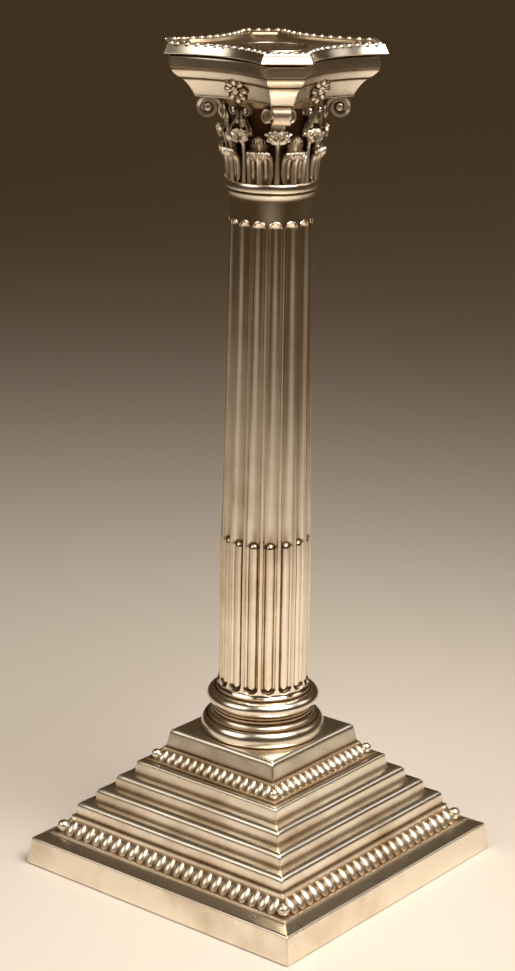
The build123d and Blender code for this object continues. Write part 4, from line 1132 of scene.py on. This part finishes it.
class CANDLESTICK_OT_nozzle(bpy.types.Operator):
    """Lift-out nozzle: a dished pan with a beaded rim and a socket for the candle"""
    bl_idname = "candlestick.nozzle"
    bl_label = "Nozzle"

    def execute(self, context):
        sizes = context.scene.candlestick_plates
        low, rim_z = PAN_LOW[2], PAN_HIGH[2]
        rim, ledge, dish = PAN_RIM, PAN_RIM - 8.0, PAN_RIM - 11.8
        floor = rim_z - 1.75
        bore = 11.75
        outside = line_through(
            (bore + 0.1, floor), (bore + 4.0, floor + 0.05), (dish - 2.0, floor + 0.25),
            quarter_round((dish - 2.0, floor + 0.25), (ledge - 0.35, rim_z - 0.05), False, 10),
            half_round((ledge - 0.3, rim_z), (ledge + 0.5, rim_z), -0.32, 9),
            (ledge + 0.8, rim_z - 0.16), (rim - 3.0, rim_z - 0.22), (rim - 2.4, rim_z - 0.1),
            (rim - 2.3, rim_z - 0.05), (rim - 0.55, rim_z - 0.05), (rim - 0.5, rim_z + 0.3),
            quarter_round((rim - 0.35, rim_z + 0.42), (rim + 0.08, rim_z + 0.05), False, 5),
            (PAN_REACH - 0.1, low + 0.35),
            quarter_round((PAN_REACH, low + 0.3), (PAN_REACH - 0.35, low), True, 5))
        outside = close_set(outside, 0.7)
        inside = np.array([(rim - 1.4, low), (rim - 1.4, low + 1.3), (ledge - 0.5, low + 1.3),
                           (ledge - 2.0, low), (bore + 0.1, low)])
        profile = np.vstack([outside, inside])
        reach = profile[:, 0]
        # the corner faces widen faster over the bevel, and near the socket the outline is round
        cut = np.where(reach < 17.0, 3.0, np.maximum(pan_corner_half(reach, sizes), 1.2))
        cut = np.where(reach > rim, pan_corner_half(rim, sizes) + 0.9 * (reach - rim), cut)
        points = plate_points(reach, profile[:, 1], cut, np.maximum(side_hollow(reach, sizes), 0.5))
        distance = np.hypot(points[..., 0], points[..., 1])
        round_share = 1 - eased(12.5, 22.0, reach)[:, None]
        factor = (1 - round_share) + round_share * reach[:, None] / distance
        points[..., :2] *= factor[..., None]
        roots = [(ledge + 0.75, rim_z - 0.15), (rim - 2.3, rim_z - 0.1), (ledge - 0.6, rim_z - 0.2)]
        tarnish = 0.6 * nearness(profile, roots, 0.5) + 0.38 * eased(ledge, ledge - 1.5, reach)
        tarnish = np.where(reach < ledge - 0.4, 0.55, tarnish)
        tarnish[len(outside):] = 0.9
        new_piece("nozzle_dish", [loop_patch(points, np.clip(tarnish, 0, 1)[:, None])],
                  "nozzle_pan", "nozzle", 30, "nozzle")

        bead_reach, face_steps, side_steps = rim - 1.55, 40, 200
        line = plate_points([bead_reach], [0], [pan_corner_half(bead_reach, sizes)],
                            [side_hollow(bead_reach, sizes)], face_steps, side_steps)[0, :, :2]
        line = np.vstack([line, line[:1]])
        places = []
        for start in np.arange(4) * (face_steps + side_steps):
            side = start + face_steps
            for run, spacing in ((line[start:side + 1], 3.5), (line[side:side + side_steps + 1], 3.45)):
                way = np.r_[0, np.cumsum(np.hypot(*np.diff(run, axis=0).T))]
                count = round(way[-1] / spacing)
                at = (np.arange(count) + 0.5) / count * way[-1]
                places.append(np.column_stack([np.interp(at, way, run[:, k]) for k in (0, 1)]))
        places = np.vstack(places)
        centre_z = rim_z - 0.15
        shifts = np.column_stack([places, np.full(len(places), centre_z)])
        bead = ball_patch(12, 8, (sizes.rim_bead / 2,) * 3)
        beads = copies(bead, np.tile(np.eye(3), (len(places), 1, 1)), shifts)
        shade = np.clip((centre_z + 0.75 - beads[0][:, 2]) / 0.9, 0, 0.8)
        new_piece("nozzle_bead_rim", [(beads[0], beads[1], shade)], "nozzle_beads", "bead", 60,
                  "nozzle")

        out, candle = 11.7, 11.1
        mouth, bottom = SOCKET_HIGH[2], SOCKET_LOW[2]
        socket = line_through((candle, bottom), (out, bottom), (out, floor - 0.1),
                              (out + 0.95, floor + 0.05),
                              half_round((out + 0.95, floor + 0.1), (candle, mouth - 0.25), 0.45, 12),
                              (candle, mouth - 0.3))
        socket = close_set(socket, 3.0)
        tarnish = np.where(socket[:, 1] < floor - 0.5, 0.7, 0.15)
        new_piece("candle_socket", [spun_patch(socket, tarnish, 96)], "nozzle_socket", "nozzle", 40,
                  "nozzle")
        return {"FINISHED"}


# ------------------------------------------------------------------ CAD pieces that stay
# name, the two colours, size of the grain, roughness range, bump, metallic, stretch, sheen
OTHER = {
    # fulled wool, a short nap with no visible weave
    "baize": ("Baize_wool_fulled", ("1F3A2A", "2C5240"), 0.7, (0.85, 1.0), 0.25, 0.0, (1, 1, 1), 0.6),
    # sawn softwood, long grain along X
    "board_wood": ("Pine_board_sawn", ("8A6A43", "B5925F"), 5.0, (0.55, 0.8), 0.12, 0.0, (0.08, 1, 1)),
    # poured while hot, glossy with slow ripples
    "pitch": ("Pitch_poured", ("15100C", "2A1E15"), 9.0, (0.25, 0.5), 0.3),
    # black rod and cut nuts, scaled and slightly rusted
    "iron": ("Iron_rod_forged", ("2B2725", "5A4034"), 2.5, (0.45, 0.8), 0.08, 1.0),
}


class CANDLESTICK_OT_frame_finish(bpy.types.Operator):
    """Finishes of the CAD pieces that are shown as they are"""
    bl_idname = "candlestick.frame_finish"
    bl_label = "Inner pieces"

    def execute(self, context):
        slots = {part["node"]: part["material_slot"] for part in frame["record"]["subparts"]}
        for name, node in frame["nodes"].items():
            if node.hide_render:
                continue
            slot = slots[name]
            node.data.materials.clear()
            if slot in OTHER:
                material = kept_material(OTHER[slot][0], simple_material, *OTHER[slot][1:])
            else:
                material = silver(slot.removesuffix("_silver"))
            node.data.materials.append(material)
        return {"FINISHED"}


# ------------------------------------------------------------------ stage
def placed(x, y, z, place):
    """The matrix that turns an object's own axes to x, y and z and moves it to a place."""
    matrix = np.eye(4)
    matrix[:3, :3] = np.column_stack([x, y, z])
    matrix[:3, 3] = place
    return Matrix(matrix.tolist())


def add_floor(scene, colour):
    """A round floor that sweeps up into a wall by a quarter of a circle, matt painted board."""
    flat, bend, top, around = 2000.0, 1200.0, 1500.0, 96
    turn = np.linspace(0, math.pi / 2, 16)
    profile = line_through((40.0, 0.0), (400.0, 0.0), (flat, 0.0),
                           np.column_stack([flat + bend * np.sin(turn), bend * (1 - np.cos(turn))]),
                           (flat + bend, top))
    a = np.arange(around) * 2 * math.pi / around
    points = np.stack([profile[:, 0:1] * np.cos(a), profile[:, 0:1] * np.sin(a),
                       profile[:, 1:2] + 0 * a], axis=-1).reshape(-1, 3)
    j = np.arange(around)
    fan = np.stack([j, (j + 1) % around, np.full(around, len(points))], axis=-1)
    sweep = grid_faces(len(profile), around, False, True)[:, ::-1]
    mesh = bpy.data.meshes.new("studio_floor")
    mesh.from_pydata((np.vstack([points, [[0, 0, 0]]]) * MM).tolist(), [], sweep.tolist() + fan.tolist())
    mesh.shade_smooth()
    floor = bpy.data.objects.new("studio_floor", mesh)
    scene.collection.objects.link(floor)
    mesh.materials.append(kept_material("Board_painted_matt", simple_material, (colour, colour),
                                        400.0, (0.85, 0.95), 0.0))


def add_lamp(scene, name, place, aim, size, power, colour, spread):
    """A square area lamp at a place, turned so that its own -Z points at the aim."""
    data = bpy.data.lights.new(name, "AREA")
    data.shape, data.size, data.energy = "SQUARE", size, power
    data.color = linear(colour)[:3]
    data.spread = math.radians(spread)
    lamp = bpy.data.objects.new(name, data)
    scene.collection.objects.link(lamp)
    z = np.array(place) - np.array(aim)
    z /= np.linalg.norm(z)
    x = np.cross([0, 0, 1], z)
    x /= np.linalg.norm(x)
    lamp.matrix_world = placed(x, np.cross(z, x), z, place)


class CANDLESTICK_OT_stage(bpy.types.Operator):
    """Pale floor that sweeps up all round, soft lamps and the camera"""
    bl_idname = "candlestick.stage"
    bl_label = "Stage"

    def execute(self, context):
        """The camera looks along its heading, tipped down by the pitch and rolled by the roll."""
        scene = context.scene
        add_floor(scene, scene.candlestick_finish.floor)

        heading, pitch, roll = (math.radians(v) for v in (38.68, 17.05, 0.93))
        right = np.array([math.cos(heading), math.sin(heading), 0])
        toward = np.array([math.sin(heading), -math.cos(heading), 0])
        ahead = -toward * math.cos(pitch) - (0, 0, math.sin(pitch))
        up = np.cross(right, ahead)
        camera = bpy.data.objects.new("camera", bpy.data.cameras.new("camera"))
        scene.collection.objects.link(camera)
        camera.matrix_world = placed(math.cos(roll) * right + math.sin(roll) * up,
                                     math.cos(roll) * up - math.sin(roll) * right,
                                     -ahead, (0.5000, -0.6296, 0.3893))
        camera.data.lens = 88.57
        camera.data.clip_end = 50
        scene.camera = camera

        # place, aim, side in metres, power in watts, colour and spread in degrees
        add_lamp(scene, "key", right * 0.30 + toward * 0.36 + (0, 0, 0.72), toward * 0.10, 0.6, 2.2,
                 "FFFAF4", 75)
        add_lamp(scene, "left", (-0.376, -0.94, 0.9), (0, 0, 0.2), 1.1, 1.1, "FFF8EE", 60)
        add_lamp(scene, "front", toward * 0.95 + (0, 0, 0.85), toward * 0.90, 0.5, 0.8, "FFF8EE", 90)
        add_lamp(scene, "rear", (0.692, 0.855, 0.9), (0, 0, 0.1), 0.7, 0.14, "FFF8EE", 45)
        world = bpy.data.worlds.new("studio")
        scene.world = world
        world.use_nodes = True
        sky = world.node_tree.nodes["Background"].inputs
        sky["Color"].default_value = linear("574936")
        sky["Strength"].default_value = 0.8
        scene.view_settings.view_transform = "Standard"
        return {"FINISHED"}


OPERATORS = (CANDLESTICK_OT_foot, CANDLESTICK_OT_bead_mouldings, CANDLESTICK_OT_column_base,
             CANDLESTICK_OT_shaft, CANDLESTICK_OT_neck_ring, CANDLESTICK_OT_bell,
             CANDLESTICK_OT_leaves, CANDLESTICK_OT_scrolls, CANDLESTICK_OT_flowers,
             CANDLESTICK_OT_abacus, CANDLESTICK_OT_nozzle, CANDLESTICK_OT_frame_finish,
             CANDLESTICK_OT_stage)
GROUPS = {"candlestick_foot": FootSizes, "candlestick_beads": BeadSizes,
          "candlestick_column": ColumnSizes, "candlestick_capital": CapitalSizes,
          "candlestick_plates": PlateSizes, "candlestick_finish": Finishes}


class CANDLESTICK_PT_panel(bpy.types.Panel):
    """Sizes, colours and the operators, in the order in which they are run"""
    bl_idname = "CANDLESTICK_PT_panel"
    bl_label = "Candlestick"
    bl_space_type = "VIEW_3D"
    bl_region_type = "UI"
    bl_category = "Candlestick"

    def draw(self, context):
        for name, group in GROUPS.items():
            box = self.layout.box()
            for key in group.__annotations__:
                box.prop(getattr(context.scene, name), key)
        for operator in OPERATORS:
            self.layout.operator(operator.bl_idname)


def register():
    """Registers the classes and hangs the settings on the scene."""
    for name, group in GROUPS.items():
        bpy.utils.register_class(group)
        setattr(bpy.types.Scene, name, bpy.props.PointerProperty(type=group))
    for cls in (*OPERATORS, CANDLESTICK_PT_panel):
        bpy.utils.register_class(cls)


def unregister():
    """Takes back what register did."""
    for cls in (CANDLESTICK_PT_panel, *reversed(OPERATORS)):
        bpy.utils.unregister_class(cls)
    for name, group in GROUPS.items():
        delattr(bpy.types.Scene, name)
        bpy.utils.unregister_class(group)


def main():
    """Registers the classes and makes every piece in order."""
    register()
    for operator in OPERATORS:
        group, name = operator.bl_idname.split(".")
        getattr(getattr(bpy.ops, group), name)()


if __name__ == "__main__":
    main()
